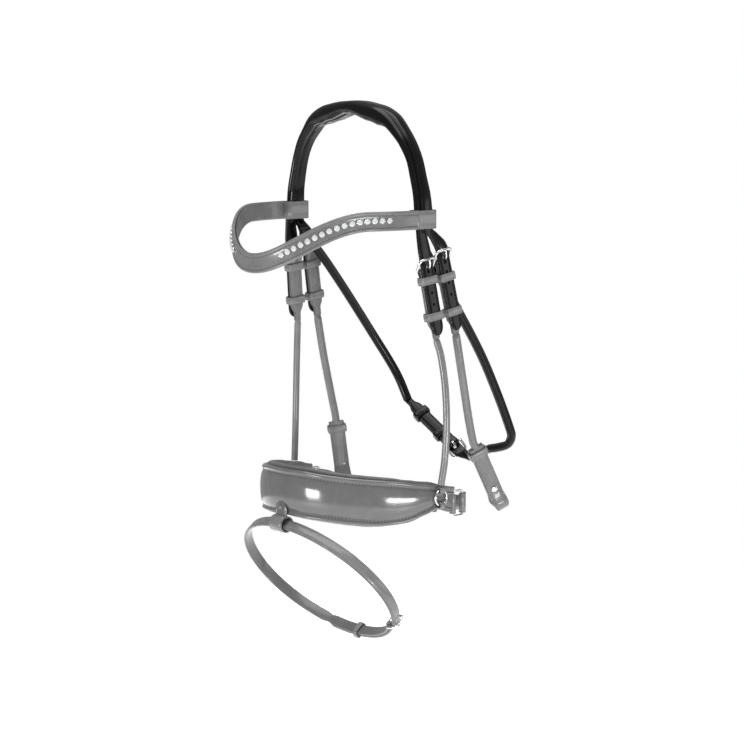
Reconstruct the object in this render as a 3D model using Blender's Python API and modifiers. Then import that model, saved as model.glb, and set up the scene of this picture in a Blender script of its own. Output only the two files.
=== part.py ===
"""A snaffle bridle, full size, in metres.

+X is the horse's near (left) side, -Y is the front and +Z is up. The origin is the middle of the crown's
underside, where the bridle rests on the poll. The far side mirrors the near side, apart from the throatlatch
and the hang of the cheekpieces.
"""

import math

import bmesh
import bpy
from mathutils import Matrix, Vector

SIDES = (("near", 1), ("far", -1))

# Leather
STRAP_THICK = 0.0026
CHAPE_THICK = 0.0040
LAYER_GAP = 0.00035
BILLET_WIDTH = 0.016
CHAPE_WIDTH = 0.0156
HANGER_RADIUS = 0.0036
CHEEK_RADIUS = 0.0042
THROAT_RADIUS = 0.0048

# Crown: half the route of the strap's middle plane over the poll, as x and z
CROWN_THICK = 0.0036
CROWN_HALF = ((0.0060, 0.0115), (0.0343, 0.0076), (0.0515, 0.0029), (0.0621, -0.0034), (0.0727, -0.0152),
              (0.0843, -0.0297), (0.0912, -0.0429), (0.0969, -0.0613), (0.1017, -0.0799), (0.1031, -0.0932),
              (0.1039, -0.1050), (0.1043, -0.1180))
CROWN_SEGMENTS = 31
# Shares of the way from the poll to a leg's end, with the y of each edge and the fullness of the padding
CROWN_FRONT = ((0.0, -0.0225), (0.27, -0.0200), (0.60, -0.0150), (1.0, -0.0147))
CROWN_REAR = ((0.0, 0.0070), (0.27, 0.0035), (0.70, 0.0048), (0.87, 0.0068), (1.0, 0.0068))
CROWN_PAD_THICK = 0.0130
CROWN_PAD_SHARE = ((0.0, 0.72), (0.04, 0.72), (0.16, 1.0), (0.27, 1.0), (0.36, 0.62), (0.48, 0.38), (0.60, 0.30),
                   (1.0, 0.27))
CROWN_PAD_TRIM = 1

# Billets: a route of the middle plane of each, near side
HANGER_BILLET = ((0.1036, -0.0092, -0.1060), (0.1044, -0.0085, -0.1180), (0.1148, 0.0058, -0.2215))
CHEEK_BILLET = ((0.1036, 0.0024, -0.1060), (0.1041, 0.0028, -0.1155), (0.1052, 0.0085, -0.1225),
                (0.1070, 0.0165, -0.1335), (0.1138, 0.0330, -0.2180))
BILLETS = {"hanger": (HANGER_BILLET, HANGER_RADIUS), "cheek": (CHEEK_BILLET, CHEEK_RADIUS)}
BILLET_ROOT = {"hanger": 0.0125, "cheek": 0.0085}
ROOT_LENGTH = (0.0100, 0.0280)
BAR_ALONG = {"hanger": 0.0670, "cheek": 0.0725}
KEEPER_DROP = {"hanger": 0.0100, "cheek": 0.0165}
RUNNER_ALONG = 0.0200
HOLE_PITCH = 0.0120
HOLE_RADIUS = 0.0015
HOLES_ABOVE = 1
HOLES_BELOW = 3
TONGUE_SLOT = (0.0034, 0.0072)

# Buckles
WIRE_RADIUS = 0.0014
TONGUE_RADIUS = 0.0010
BUCKLE_HEIGHT = 0.0140
EYE_RADIUS = 0.0031
PIVOT_GAP = 0.0003
SIDE_GAP = 0.0010

# Keepers
KEEPER_WALL = 0.0016
KEEPER_HEIGHT = 0.0084
KEEPER_GAP = 0.00045

# Browband
BAND_HALF_WIDTH = 0.1072
BAND_REACH = 0.1380
BAND_START_Y = -0.0050
BAND_Z = -0.1040
BAND_DIP = 0.0430
BAND_DIP_SPAN = math.radians(63)
BAND_DIP_POWER = 1.03
BAND_END_ANGLE = math.radians(85.2)
BAND_HEIGHT_FRONT = 0.0205
BAND_HEIGHT_END = 0.0195
BAND_THICK = 0.0036
BAND_LINING_THICK = 0.0022
SLEEVE_WALL = 0.0022
SLEEVE_X = (0.0962, 0.1066)
SLEEVE_Y = (-0.0157, 0.0078)
CRYSTALS = 16
CRYSTAL_RADIUS = 0.0034
CRYSTAL_HEIGHT = 0.0026
CRYSTAL_FIRST = math.radians(20.5)
CRYSTAL_LAST = math.radians(71)
CRYSTAL_LIFT = 0.0008
CRYSTAL_SIDES = 6

# Noseband
NOSE_HALF_WIDTH = 0.1160
NOSE_DEPTH = 0.1500
NOSE_MIDDLE_Y = 0.0470
NOSE_END_ANGLE = math.radians(81.5)
NOSE_PAD_ANGLE = math.radians(77)
NOSE_THICK = 0.0040
NOSE_PAD_THICK = 0.0070
NOSE_TOP = ((0.0, -0.3605), (0.15, -0.3600), (0.31, -0.3625), (0.58, -0.3670), (0.72, -0.3695), (0.89, -0.3745),
            (1.0, -0.3790))
NOSE_BOTTOM = ((0.0, -0.4080), (0.31, -0.4105), (0.58, -0.4145), (0.72, -0.4145), (0.80, -0.4100), (0.89, -0.4010),
               (0.93, -0.4000), (1.0, -0.4060))
NOSE_FAR_DROP = 0.0065
NOSE_PAD_STEPS = (0.0032, 0.0018)
HANGER_MIDDLE = ((0.1155, 0.0092, -0.2440), (0.1195, 0.0113, -0.2750), (0.1213, 0.0117, -0.3120),
                 (0.1206, 0.0100, -0.3480))
RING_RADIUS = 0.0078
RING_WIRE = 0.0012
RING_CENTRE = {"near": (0.1186, 0.0070, -0.3880), "far": (-0.1186, 0.0070, -0.3939)}
LOOP_Z = {"near": -0.3975, "far": -0.4040}
LOOP_HEIGHT = 0.0260
LOOP_FRONT = (0.1149, 0.0266)
LOOP_REAR = (0.1158, 0.0390)
LOOP_EYE = 0.0034
CRANK_BAR = (0.0260, 0.0810, -0.4120)
CRANK_FALL = ((0.0, 0.0), (0.2, 0.10), (0.8, 0.92), (1.0, 1.0))
CRANK_TIP_X = -0.0240
CRANK_NEAR = ((0.1158, 0.0390), (0.1100, 0.0480), (0.0950, 0.0600), (0.0760, 0.0710), (0.0550, 0.0785),
              (0.0400, 0.0810))
CRANK_FAR = ((0.1158, 0.0390), (0.1080, 0.0460), (0.0910, 0.0560), (0.0720, 0.0660), (0.0540, 0.0730))
CRANK_EYE_HEIGHT = 0.0220
CHIN_PAD_SIZE = (0.084, 0.0080, 0.0320)
CHIN_PAD_Y = 0.0675

# Cheekpieces and bit loops
CHEEK_MIDDLE = ((0.1110, 0.0425, -0.2655), (0.1102, 0.0525, -0.3100))
CHEEK_KEEPER = {"near": (0.1090, 0.0640, -0.3430), "far": (0.1095, 0.0590, -0.3410)}
BIT_LOOP_END = {"near": (0.1050, 0.1060, -0.4120), "far": (0.1090, 0.0700, -0.4120)}
BIT_LOOP_TURN = {"near": math.radians(-26), "far": math.radians(-30)}
BIT_LOOP_WIDTH = 0.0165
BIT_LOOP_RADIUS = 0.0078

# Throatlatch: the stub under each leg of the crown that carries it, and the routes of its straps' middles,
# the far one mirrored
THROAT_STUB = ((0.1036, 0.0010, -0.1120), (0.1000, 0.0010, -0.1180), (0.0958, 0.0010, -0.1212),
               (0.0952, 0.0010, -0.1246))
THROAT_NEAR = ((0.0950, 0.0010, -0.1300), (0.0950, 0.0360, -0.1790), (0.0962, 0.0800, -0.2440),
               (0.0968, 0.1060, -0.2910), (0.0962, 0.1250, -0.3290), (0.0936, 0.1312, -0.3415),
               (0.0850, 0.1335, -0.3510), (0.0700, 0.1328, -0.3562), (0.0540, 0.1320, -0.3605))
THROAT_FAR = ((0.0940, 0.0010, -0.1300), (0.0930, 0.0230, -0.1515), (0.0925, 0.0540, -0.1890),
              (0.0860, 0.0905, -0.2420), (0.0740, 0.1155, -0.2870))
THROAT_BAR = (0.0000, 0.1345, -0.3630)
THROAT_UP = (0.8300, 0.1080, -0.5460)
THROAT_OUTWARD = (0.0, 0.5500, -0.8300)
THROAT_BEND = ((-0.0150, 0.0330), (-0.0096, 0.0260), (-0.0040, 0.0180), (-0.0010, 0.0115), (0.0, 0.0050))
THROAT_TIP = 0.0660
THROAT_CHAPE = 0.0800
THROAT_WIDTH = 0.0140

# Flash strap: an elliptical hoop below the noseband
FLASH_TOP = (0.0, -0.1092, -0.4152)
FLASH_DOWN = (0.0, -0.0035, -0.5475)
FLASH_HALF_WIDTH = 0.1045
FLASH_WIDTH = 0.0120
FLASH_BUCKLE_DEG = 38
FLASH_TIP_DEG = 112
FLASH_RISE_DEG = (300, 385)
FLASH_LAYER = STRAP_THICK + LAYER_GAP
FLASH_KEEPER_DEG = 88
FLASH_LOOP_RADIUS = 0.0069
FLASH_LOOP_WALL = 0.0018
FLASH_LOOP_WIDTH = 0.0200

scene = bpy.context.scene
for old in list(bpy.data.objects):
    bpy.data.objects.remove(old, do_unlink=True)
parts = bpy.data.collections.new("snaffle_bridle")
cutters = bpy.data.collections.new("cutters")
scene.collection.children.link(parts)
scene.collection.children.link(cutters)


def material(name, colour, roughness, metallic=0.0):
    made = bpy.data.materials.new(name)
    made.use_nodes = True
    surface = made.node_tree.nodes["Principled BSDF"]
    surface.inputs["Base Color"].default_value = (*colour, 1.0)
    surface.inputs["Roughness"].default_value = roughness
    surface.inputs["Metallic"].default_value = metallic
    made.diffuse_color = (*colour, 1.0)
    return made


LOOKS = {
    "black_leather": ((0.012, 0.012, 0.013), 0.35, 0.0),
    "grey_leather": ((0.19, 0.19, 0.19), 0.28, 0.0),
    "grey_padding": ((0.15, 0.15, 0.15), 0.42, 0.0),
    "chrome": ((0.78, 0.79, 0.80), 0.12, 1.0),
    "crystal": ((0.92, 0.93, 0.95), 0.05, 0.0),
}


def finish(obj, look):
    """Gives an object its own material and smooth shading with sharp edges kept."""
    colour, roughness, metallic = LOOKS[look]
    obj.data.materials.clear()
    obj.data.materials.append(material(f"{obj.name}_{look}", colour, roughness, metallic))
    if obj.type == "MESH":
        obj.data.shade_smooth()
        obj.data.set_sharp_from_angle(angle=math.radians(35))
    return obj


def as_cutter(obj):
    for home in list(obj.users_collection):
        home.objects.unlink(obj)
    cutters.objects.link(obj)
    obj.hide_render = True
    obj.display_type = "WIRE"
    return obj


def put(name, data, matrix=None):
    obj = bpy.data.objects.new(name, data)
    parts.objects.link(obj)
    if matrix is not None:
        obj.matrix_world = matrix
    return obj


def mesh_object(name, bm, matrix=None):
    data = bpy.data.meshes.new(name)
    bm.to_mesh(data)
    bm.free()
    return put(name, data, matrix)


def boolean(obj, other, operation):
    step = obj.modifiers.new(f"{operation.lower()}_{other.name}", "BOOLEAN")
    step.operation = operation
    step.object = other
    step.solver = "EXACT"


def as_mesh(obj):
    """Makes a mesh object of a curve, with its caps welded on."""
    bpy.context.view_layer.update()
    evaluated = obj.evaluated_get(bpy.context.evaluated_depsgraph_get())
    data = bpy.data.meshes.new_from_object(evaluated)
    bm = bmesh.new()
    bm.from_mesh(data)
    bmesh.ops.remove_doubles(bm, verts=bm.verts, dist=0.00001)
    bmesh.ops.recalc_face_normals(bm, faces=bm.faces)
    bm.to_mesh(data)
    bm.free()
    name, matrix = obj.name, obj.matrix_world.copy()
    old_curve = obj.data
    bpy.data.objects.remove(obj, do_unlink=True)
    bpy.data.curves.remove(old_curve)
    return put(name, data, matrix)


def mirrored(points, sign):
    return [Vector((sign * x, y, z)) for x, y, z in points]


def along(points, count):
    """A smooth curve through the points, as count + 1 evenly spaced ones."""
    points = [Vector(p) for p in points]
    padded = [2 * points[0] - points[1], *points, 2 * points[-1] - points[-2]]
    fine = []
    steps = 24
    for a, b, c, d in zip(padded, padded[1:], padded[2:], padded[3:]):
        for step in range(steps):
            t = step / steps
            fine.append(0.5 * (2 * b + (c - a) * t + (2 * a - 5 * b + 4 * c - d) * t**2
                               + (3 * b - a - 3 * c + d) * t**3))
    fine.append(points[-1])
    lengths = [0.0]
    for p, q in zip(fine, fine[1:]):
        lengths.append(lengths[-1] + (q - p).length)
    even = []
    at = 0
    for index in range(count + 1):
        want = lengths[-1] * index / count
        while at < len(fine) - 2 and lengths[at + 1] < want:
            at += 1
        span = max(lengths[at + 1] - lengths[at], 1e-9)
        even.append(fine[at].lerp(fine[at + 1], (want - lengths[at]) / span))
    return even


def graph(table, t):
    """A value read off a table of (position, value) pairs, straight between them."""
    for (t0, v0), (t1, v1) in zip(table, table[1:]):
        if t <= t1:
            s = (t - t0) / (t1 - t0)
            return v0 + (v1 - v0) * s
    return table[-1][1]


def tangents(path):
    ends = [path[0], *path, path[-1]]
    return [(q - p).normalized() for p, q in zip(ends, ends[2:])]


def across_axes(path, hint):
    """Unit vectors across a strap: the hint made square to the strap's run."""
    return [(hint - hint.dot(t) * t).normalized() for t in tangents(path)]


def sheet(bm, path, across, widths):
    """Adds an open strip to bm: a grid with its length along the path."""
    count = len(path) - 1
    made = bmesh.ops.create_grid(bm, x_segments=count, y_segments=1, size=1.0)
    for vert in made["verts"]:
        i = round((vert.co.x + 1) / 2 * count)
        side = vert.co.y / 2
        width = widths[i] if isinstance(widths, list) else widths
        vert.co = path[i] + across[i] * side * width


def solidify(obj, thickness):
    step = obj.modifiers.new("thickness", "SOLIDIFY")
    step.thickness = thickness
    step.offset = 0.0
    step.use_even_offset = True


def strap(name, path, across, widths, thickness):
    bm = bmesh.new()
    sheet(bm, path, across, widths)
    obj = mesh_object(name, bm)
    solidify(obj, thickness)
    return obj


def tube(name, points, radius, resolution=2, radii=None, cyclic=False, matrix=None):
    data = bpy.data.curves.new(name, "CURVE")
    data.dimensions = "3D"
    data.bevel_depth = radius
    data.bevel_resolution = resolution
    data.use_fill_caps = not cyclic
    line = data.splines.new("POLY")
    line.points.add(len(points) - 1)
    for index, (target, point) in enumerate(zip(line.points, points)):
        target.co = (*point, 1.0)
        target.radius = radii[index] if radii else 1.0
    line.use_cyclic_u = cyclic
    return put(name, data, matrix)


def rounded_start(points, radius):
    """Points and radius factors of a tube whose first end is a dome about points[0]."""
    back = (Vector(points[0]) - Vector(points[1])).normalized()
    dome = (12, 35, 62)
    begin = [Vector(points[0]) + back * radius * math.cos(math.radians(a)) for a in dome]
    factors = [math.sin(math.radians(a)) for a in dome]
    return begin + list(points), factors + [1.0] * len(points)


def rolled(name, points, radius, count, resolution=2):
    route, factors = rounded_start(along(points, count), radius)
    return tube(name, route, radius, resolution, factors)


def outline(name, loops, height, matrix=None):
    """A flat outline with holes, in the XY plane, extruded to a height about it."""
    data = bpy.data.curves.new(name, "CURVE")
    data.dimensions = "2D"
    data.fill_mode = "BOTH"
    data.extrude = height / 2
    for loop in loops:
        line = data.splines.new("POLY")
        line.points.add(len(loop) - 1)
        for target, (x, y) in zip(line.points, loop):
            target.co = (x, y, 0.0, 1.0)
        line.use_cyclic_u = True
    return put(name, data, matrix)


def rounded_box(x0, x1, y0, y1, radius, steps=3):
    corners = ((x1 - radius, y1 - radius, 0), (x0 + radius, y1 - radius, 90),
               (x0 + radius, y0 + radius, 180), (x1 - radius, y0 + radius, 270))
    loop = []
    for cx, cy, start in corners:
        for step in range(steps + 1):
            angle = math.radians(start + 90 * step / steps)
            loop.append((cx + radius * math.cos(angle), cy + radius * math.sin(angle)))
    return loop


def cylinder(bm, radius, length, matrix, segments=12):
    bmesh.ops.create_cone(bm, cap_ends=True, segments=segments, radius1=radius, radius2=radius,
                          depth=length, matrix=matrix)


def box(bm, low, high, matrix=None):
    size = Vector(high) - Vector(low)
    place = Matrix.Translation((Vector(high) + Vector(low)) / 2) @ Matrix.Diagonal((*size, 1.0))
    bmesh.ops.create_cube(bm, size=1.0, matrix=matrix @ place if matrix else place)


def frame_of(origin, outward, up):
    """A right-handed placement: local +X is outward, +Z is up the strap and +Y lies across it."""
    z = Vector(up).normalized()
    x = Vector(outward)
    x = (x - x.dot(z) * z).normalized()
    y = z.cross(x)
    made = Matrix((x, y, z)).transposed().to_4x4()
    made.translation = Vector(origin)
    return made


ALONG_Y = Matrix.Rotation(math.radians(90), 4, "X")
ALONG_X = Matrix.Rotation(math.radians(90), 4, "Y")
CHAPE_OUT = -STRAP_THICK / 2 - LAYER_GAP
CHAPE_IN = CHAPE_OUT - CHAPE_THICK
BAR_X = CHAPE_OUT - EYE_RADIUS
FRAME_TOP_X = STRAP_THICK / 2 + LAYER_GAP + WIRE_RADIUS


def buckle_frame(name, place, width):
    """A wire frame whose lower side is the bar at BAR_X and whose upper side lies over the billet."""
    half = width / 2 + SIDE_GAP + WIRE_RADIUS
    lean = math.asin((FRAME_TOP_X - BAR_X) / BUCKLE_HEIGHT)
    flat = rounded_box(0.0, BUCKLE_HEIGHT, -half, half, 0.0030, 2)
    points = [(BAR_X + u * math.sin(lean), v, u * math.cos(lean)) for u, v in flat]
    return finish(tube(name, points, WIRE_RADIUS, 2, cyclic=True, matrix=place), "chrome")


def tongue_slot(name, place):
    """The slot in a billet that the tongue comes out through."""
    bm = bmesh.new()
    wide, tall = TONGUE_SLOT
    box(bm, (-STRAP_THICK / 2 - LAYER_GAP / 2, -wide / 2, -0.0026), (0.004, wide / 2, tall - 0.0026))
    return as_cutter(mesh_object(f"{name}_slot", bm, place))


def buckle_tongue(name, place):
    """A pin that turns on the bar, comes out through the billet and rests on the frame's upper side."""
    lean = math.asin((FRAME_TOP_X - BAR_X) / BUCKLE_HEIGHT)
    top = FRAME_TOP_X + WIRE_RADIUS + TONGUE_RADIUS + LAYER_GAP
    tip = BUCKLE_HEIGHT * math.cos(lean) + WIRE_RADIUS
    route = ((BAR_X, 0, 0), (CHAPE_OUT, 0, 0.0008), (0.0030, 0, 0.0022), (top - 0.0004, 0, 0.0056),
             (top, 0, tip - 0.0030), (top - 0.0002, 0, tip))
    pivot = place @ Matrix.Translation((BAR_X, 0, 0))
    local = [Vector(p) - Vector((BAR_X, 0, 0)) for p in route]
    pin = as_mesh(tube(f"{name}_pin", local, TONGUE_RADIUS, 2, matrix=pivot))
    bm = bmesh.new()
    cylinder(bm, WIRE_RADIUS + PIVOT_GAP + 0.0010, 0.0026, ALONG_Y)
    obj = mesh_object(name, bm, pivot)
    boolean(obj, as_cutter(pin), "UNION")
    bm = bmesh.new()
    cylinder(bm, WIRE_RADIUS + PIVOT_GAP, 0.010, ALONG_Y)
    boolean(obj, as_cutter(mesh_object(f"{name}_bore", bm, pivot)), "DIFFERENCE")
    return finish(obj, "chrome")


def chape_cuts(name, place, width):
    """The bar's bore through a folded end, and the slot that the tongue turns in."""
    bm = bmesh.new()
    cylinder(bm, WIRE_RADIUS + PIVOT_GAP, width * 2, Matrix.Translation((BAR_X, 0, 0)) @ ALONG_Y)
    bore = as_cutter(mesh_object(f"{name}_bore", bm, place))
    bm = bmesh.new()
    box(bm, (BAR_X - 0.006, -0.0017, -0.0034), (BAR_X + 0.006, 0.0017, 0.006))
    slot = as_cutter(mesh_object(f"{name}_slot", bm, place))
    return bore, slot


def chape(name, place, length, end_radius, look="grey_leather", width=CHAPE_WIDTH):
    """A strap end folded round the buckle's bar, narrowing to the rolled strap below it."""
    half = width / 2
    taper = length - 0.020
    waist = [(half, -0.0007), (half, -taper)]
    for share, reach in ((0.25, 0.93), (0.5, 0.70), (0.75, 0.52)):
        waist.append((max(half * reach, end_radius), -taper - share * 0.016))
    waist.append((end_radius, -taper - 0.016))
    waist.append((end_radius, -length))
    loop = waist + [(-y, z) for y, z in reversed(waist)]
    middle = (CHAPE_OUT + CHAPE_IN) / 2
    # The outline is drawn with its own Y up the strap and its own X across it.
    turn = Matrix(((0, 0, 1, middle), (1, 0, 0, 0), (0, 1, 0, 0), (0, 0, 0, 1)))
    obj = as_mesh(outline(name, [loop], CHAPE_THICK, place @ turn))
    bm = bmesh.new()
    cylinder(bm, EYE_RADIUS - 0.0001, width - 0.0004, Matrix.Translation((BAR_X, 0, 0)) @ ALONG_Y)
    eye = as_cutter(mesh_object(f"{name}_eye", bm, place))
    boolean(obj, eye, "UNION")
    for cutter in chape_cuts(name, place, width):
        boolean(obj, cutter, "DIFFERENCE")
    return finish(obj, look)


def keeper(name, place, at, look="grey_leather", width=BILLET_WIDTH, inner=CHAPE_IN, outer=STRAP_THICK / 2,
           height=KEEPER_HEIGHT):
    """A leather ring round a billet and the chape under it, at a height up the strap."""
    x0, x1 = inner - KEEPER_GAP, outer + KEEPER_GAP
    y1 = width / 2 + KEEPER_GAP
    hole = rounded_box(x0, x1, -y1, y1, 0.0006, 1)
    wall = KEEPER_WALL
    skin = rounded_box(x0 - wall, x1 + wall, -y1 - wall, y1 + wall, 0.0018, 2)
    return finish(outline(name, [skin, hole], height, place @ Matrix.Translation((0, 0, at))), look)


def crown_edges():
    """Middle line and width of the crown strap, whose front and rear edges run apart over the poll."""
    half = [(x, 0.0, z) for x, z in CROWN_HALF]
    route = along([(-x, y, z) for x, y, z in reversed(half)] + half, CROWN_SEGMENTS)
    middle = []
    widths = []
    for index, point in enumerate(route):
        t = abs(2 * index / CROWN_SEGMENTS - 1)
        front, rear = graph(CROWN_FRONT, t), graph(CROWN_REAR, t)
        middle.append(Vector((point.x, (front + rear) / 2, point.z)))
        widths.append(rear - front)
    return middle, widths


Y_AXIS = Vector((0, 1, 0))
X_AXIS = Vector((1, 0, 0))
Z_AXIS = Vector((0, 0, 1))


def billet_place(points, bar_along, sign):
    """The placement of a buckle on a billet, with its bar so far above the billet's tip."""
    tip = mirrored(points, sign)[-1]
    bend = mirrored(points, sign)[-2]
    up = (bend - tip).normalized()
    return frame_of(tip + up * bar_along, X_AXIS * sign, up)


def billet_route(points, sign, count):
    """A billet runs smoothly to its last bend and then straight to its tip."""
    points = mirrored(points, sign)
    steps = max(len(points) * 2 - 4, 2)
    start = along(points[:-1], steps)
    straight = [points[-2].lerp(points[-1], step / count) for step in range(1, count + 1)]
    return start + straight


def pointed(path, width, root, length=0.011):
    """Widths that grow from the root and round off the last stretch of a strap into a tip."""
    widths = []
    for point in path:
        grown = min(max(((point - path[0]).length - ROOT_LENGTH[0]) / (ROOT_LENGTH[1] - ROOT_LENGTH[0]), 0.0), 1.0)
        share = min((path[-1] - point).length / length, 1.0)
        tip = max(0.42, math.sqrt(1 - (1 - share) ** 2))
        widths.append((root + (width - root) * grown) * tip)
    return widths


def make_crown():
    route, widths = crown_edges()
    obj = strap("crown_strap", route, [Y_AXIS] * len(route), widths, CROWN_THICK)
    bm = bmesh.new()
    holes = bmesh.new()
    for side, sign in SIDES:
        for kind, (points, _) in BILLETS.items():
            path = billet_route(points, sign, 12)
            tip_start = len(path) - 3
            last = path[-1]
            path = path[:tip_start] + [path[tip_start].lerp(last, s) for s in (0.0, 0.35, 0.65, 0.85, 1.0)]
            sheet(bm, path, across_axes(path, Y_AXIS), pointed(path, BILLET_WIDTH, BILLET_ROOT[kind]))
            place = billet_place(points, BAR_ALONG[kind], sign)
            for step in range(-HOLES_BELOW, HOLES_ABOVE + 1):
                if step == 0:
                    continue
                up = Matrix.Translation((0, 0, step * HOLE_PITCH + 0.0012))
                cylinder(holes, HOLE_RADIUS, 0.008, place @ up @ ALONG_X, 6)
            wide, tall = TONGUE_SLOT
            box(holes, (-0.004, -wide / 2, -0.0026), (0.004, wide / 2, tall - 0.0026), place)
    billets = mesh_object("crown_billets", bm)
    solidify(billets, STRAP_THICK)
    boolean(obj, as_cutter(billets), "UNION")
    bm = bmesh.new()
    for side, sign in SIDES:
        path = along(mirrored(THROAT_STUB, sign), 4)
        sheet(bm, path, [Y_AXIS] * len(path), 0.0110)
    stubs = mesh_object("throat_stubs", bm)
    solidify(stubs, 0.0046)
    boolean(obj, as_cutter(stubs), "UNION")
    boolean(obj, as_cutter(mesh_object("billet_holes", holes)), "DIFFERENCE")
    finish(obj, "black_leather")


def make_crown_padding():
    """The padding under the crown, with a roll along its front edge."""
    route, widths = crown_edges()
    shares = []
    path = []
    runs = tangents(route)
    for index, point in enumerate(route):
        share = graph(CROWN_PAD_SHARE, abs(2 * index / CROWN_SEGMENTS - 1))
        drop = (CROWN_THICK + CROWN_PAD_THICK * share) / 2 + LAYER_GAP
        path.append(point - runs[index].cross(Y_AXIS) * drop)
        shares.append(share)
    kept = slice(CROWN_PAD_TRIM, -CROWN_PAD_TRIM)
    path, widths, shares = path[kept], [w - 0.0012 for w in widths[kept]], shares[kept]
    obj = strap("crown_padding", path, [Y_AXIS] * len(path), widths, CROWN_PAD_THICK)
    group = obj.vertex_groups.new(name="fullness")
    for vert in obj.data.vertices:
        nearest = min(range(len(path)), key=lambda k: (path[k].xz - vert.co.xz).length)
        group.add([vert.index], shares[nearest], "REPLACE")
    obj.modifiers["thickness"].vertex_group = "fullness"
    finish(obj, "black_leather")


def band_point(angle, outward=0.0):
    """A point of the browband's middle plane, by its angle round from the front, and its outward normal."""
    x = BAND_HALF_WIDTH * math.sin(angle)
    y = BAND_START_Y - BAND_REACH * math.cos(angle)
    eased = min(abs(angle) / BAND_DIP_SPAN, 1.0) ** BAND_DIP_POWER
    z = BAND_Z - BAND_DIP * 0.5 * (1 + math.cos(math.pi * eased))
    normal = Vector((math.sin(angle) / BAND_HALF_WIDTH, -math.cos(angle) / BAND_REACH, 0.0)).normalized()
    return Vector((x, y, z)) + normal * outward, normal


def band_route(first, last, count, outward=0.0):
    return [band_point(first + (last - first) * i / count, outward)[0] for i in range(count + 1)]


def band_height(angle):
    return BAND_HEIGHT_FRONT + (BAND_HEIGHT_END - BAND_HEIGHT_FRONT) * abs(angle) / BAND_END_ANGLE


def make_browband():
    count = 36
    path = band_route(-BAND_END_ANGLE, BAND_END_ANGLE, count)
    heights = [band_height(BAND_END_ANGLE * (2 * i / count - 1)) for i in range(count + 1)]
    obj = strap("browband_strap", path, [Z_AXIS] * len(path), heights, BAND_THICK)
    x0, x1 = SLEEVE_X
    y0, y1 = SLEEVE_Y
    wall = SLEEVE_WALL
    for side, sign in SIDES:
        hole = rounded_box(x0, x1, y0, y1, 0.0008, 1)
        skin = rounded_box(x0 - wall, x1 + wall, y0 - wall, y1 + wall, 0.0030, 2)
        place = Matrix.Translation((0, 0, BAND_Z)) @ Matrix.Diagonal((sign, 1, 1, 1))
        sleeve = as_mesh(outline(f"browband_sleeve_{side}", [skin, hole], BAND_HEIGHT_END - 0.0004))
        sleeve.data.transform(place)
        if sign < 0:
            sleeve.data.flip_normals()
        boolean(obj, as_cutter(sleeve), "UNION")
    finish(obj, "grey_leather")
    inner = -(BAND_THICK + BAND_LINING_THICK) / 2 - LAYER_GAP
    last = math.radians(76)
    path = band_route(-last, last, count, inner)
    heights = [band_height(last * (2 * i / count - 1)) - 0.002 for i in range(count + 1)]
    lining = strap("browband_lining", path, [Z_AXIS] * len(path), heights, BAND_LINING_THICK)
    finish(lining, "grey_padding")


def make_crystals():
    """A row of set crystals a side, each a faceted dome on one narrow strip."""
    lift = BAND_THICK / 2 + LAYER_GAP
    strip = 0.0008
    for side, sign in SIDES:
        first, last = sign * (CRYSTAL_FIRST - 0.03), sign * (CRYSTAL_LAST + 0.03)
        path = [p + Z_AXIS * CRYSTAL_LIFT for p in band_route(first, last, 20, lift + strip / 2)]
        obj = strap(f"{side}_crystal_row", path, [Z_AXIS] * len(path), 0.0048, strip)
        bm = bmesh.new()
        for index in range(CRYSTALS):
            angle = sign * (CRYSTAL_FIRST + (CRYSTAL_LAST - CRYSTAL_FIRST) * index / (CRYSTALS - 1))
            point, normal = band_point(angle, lift + 0.0002)
            place = frame_of(point + Z_AXIS * CRYSTAL_LIFT, normal, Z_AXIS) @ ALONG_X
            place = place @ Matrix.Translation((0, 0, CRYSTAL_HEIGHT / 2))
            bmesh.ops.create_cone(bm, cap_ends=True, segments=CRYSTAL_SIDES, radius1=CRYSTAL_RADIUS,
                                  radius2=CRYSTAL_RADIUS * 0.5, depth=CRYSTAL_HEIGHT, matrix=place)
        boolean(obj, as_cutter(mesh_object(f"{side}_crystals", bm)), "UNION")
        finish(obj, "crystal")


def make_stacks():
    """The chape, buckle and keepers that hold each billet, and the rolled strap's upper end."""
    for side, sign in SIDES:
        for kind, (points, radius) in BILLETS.items():
            bar = BAR_ALONG[kind]
            place = billet_place(points, bar, sign)
            chape(f"{side}_{kind}_chape", place, bar + 0.003, radius)
            buckle_frame(f"{side}_{kind}_buckle_frame", place, BILLET_WIDTH)
            buckle_tongue(f"{side}_{kind}_tongue", place)
            keeper(f"{side}_{kind}_keeper", place, -KEEPER_DROP[kind])
            keeper(f"{side}_{kind}_runner", place, RUNNER_ALONG - bar)


def hinge_start(kind, sign):
    """Where a rolled strap begins: the centre of its domed end, just past the chape."""
    points, radius = BILLETS[kind]
    bar = BAR_ALONG[kind]
    place = billet_place(points, bar, sign)
    return place @ Vector(((CHAPE_OUT + CHAPE_IN) / 2, 0, -(bar + 0.003 + radius + 0.0004)))


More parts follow.
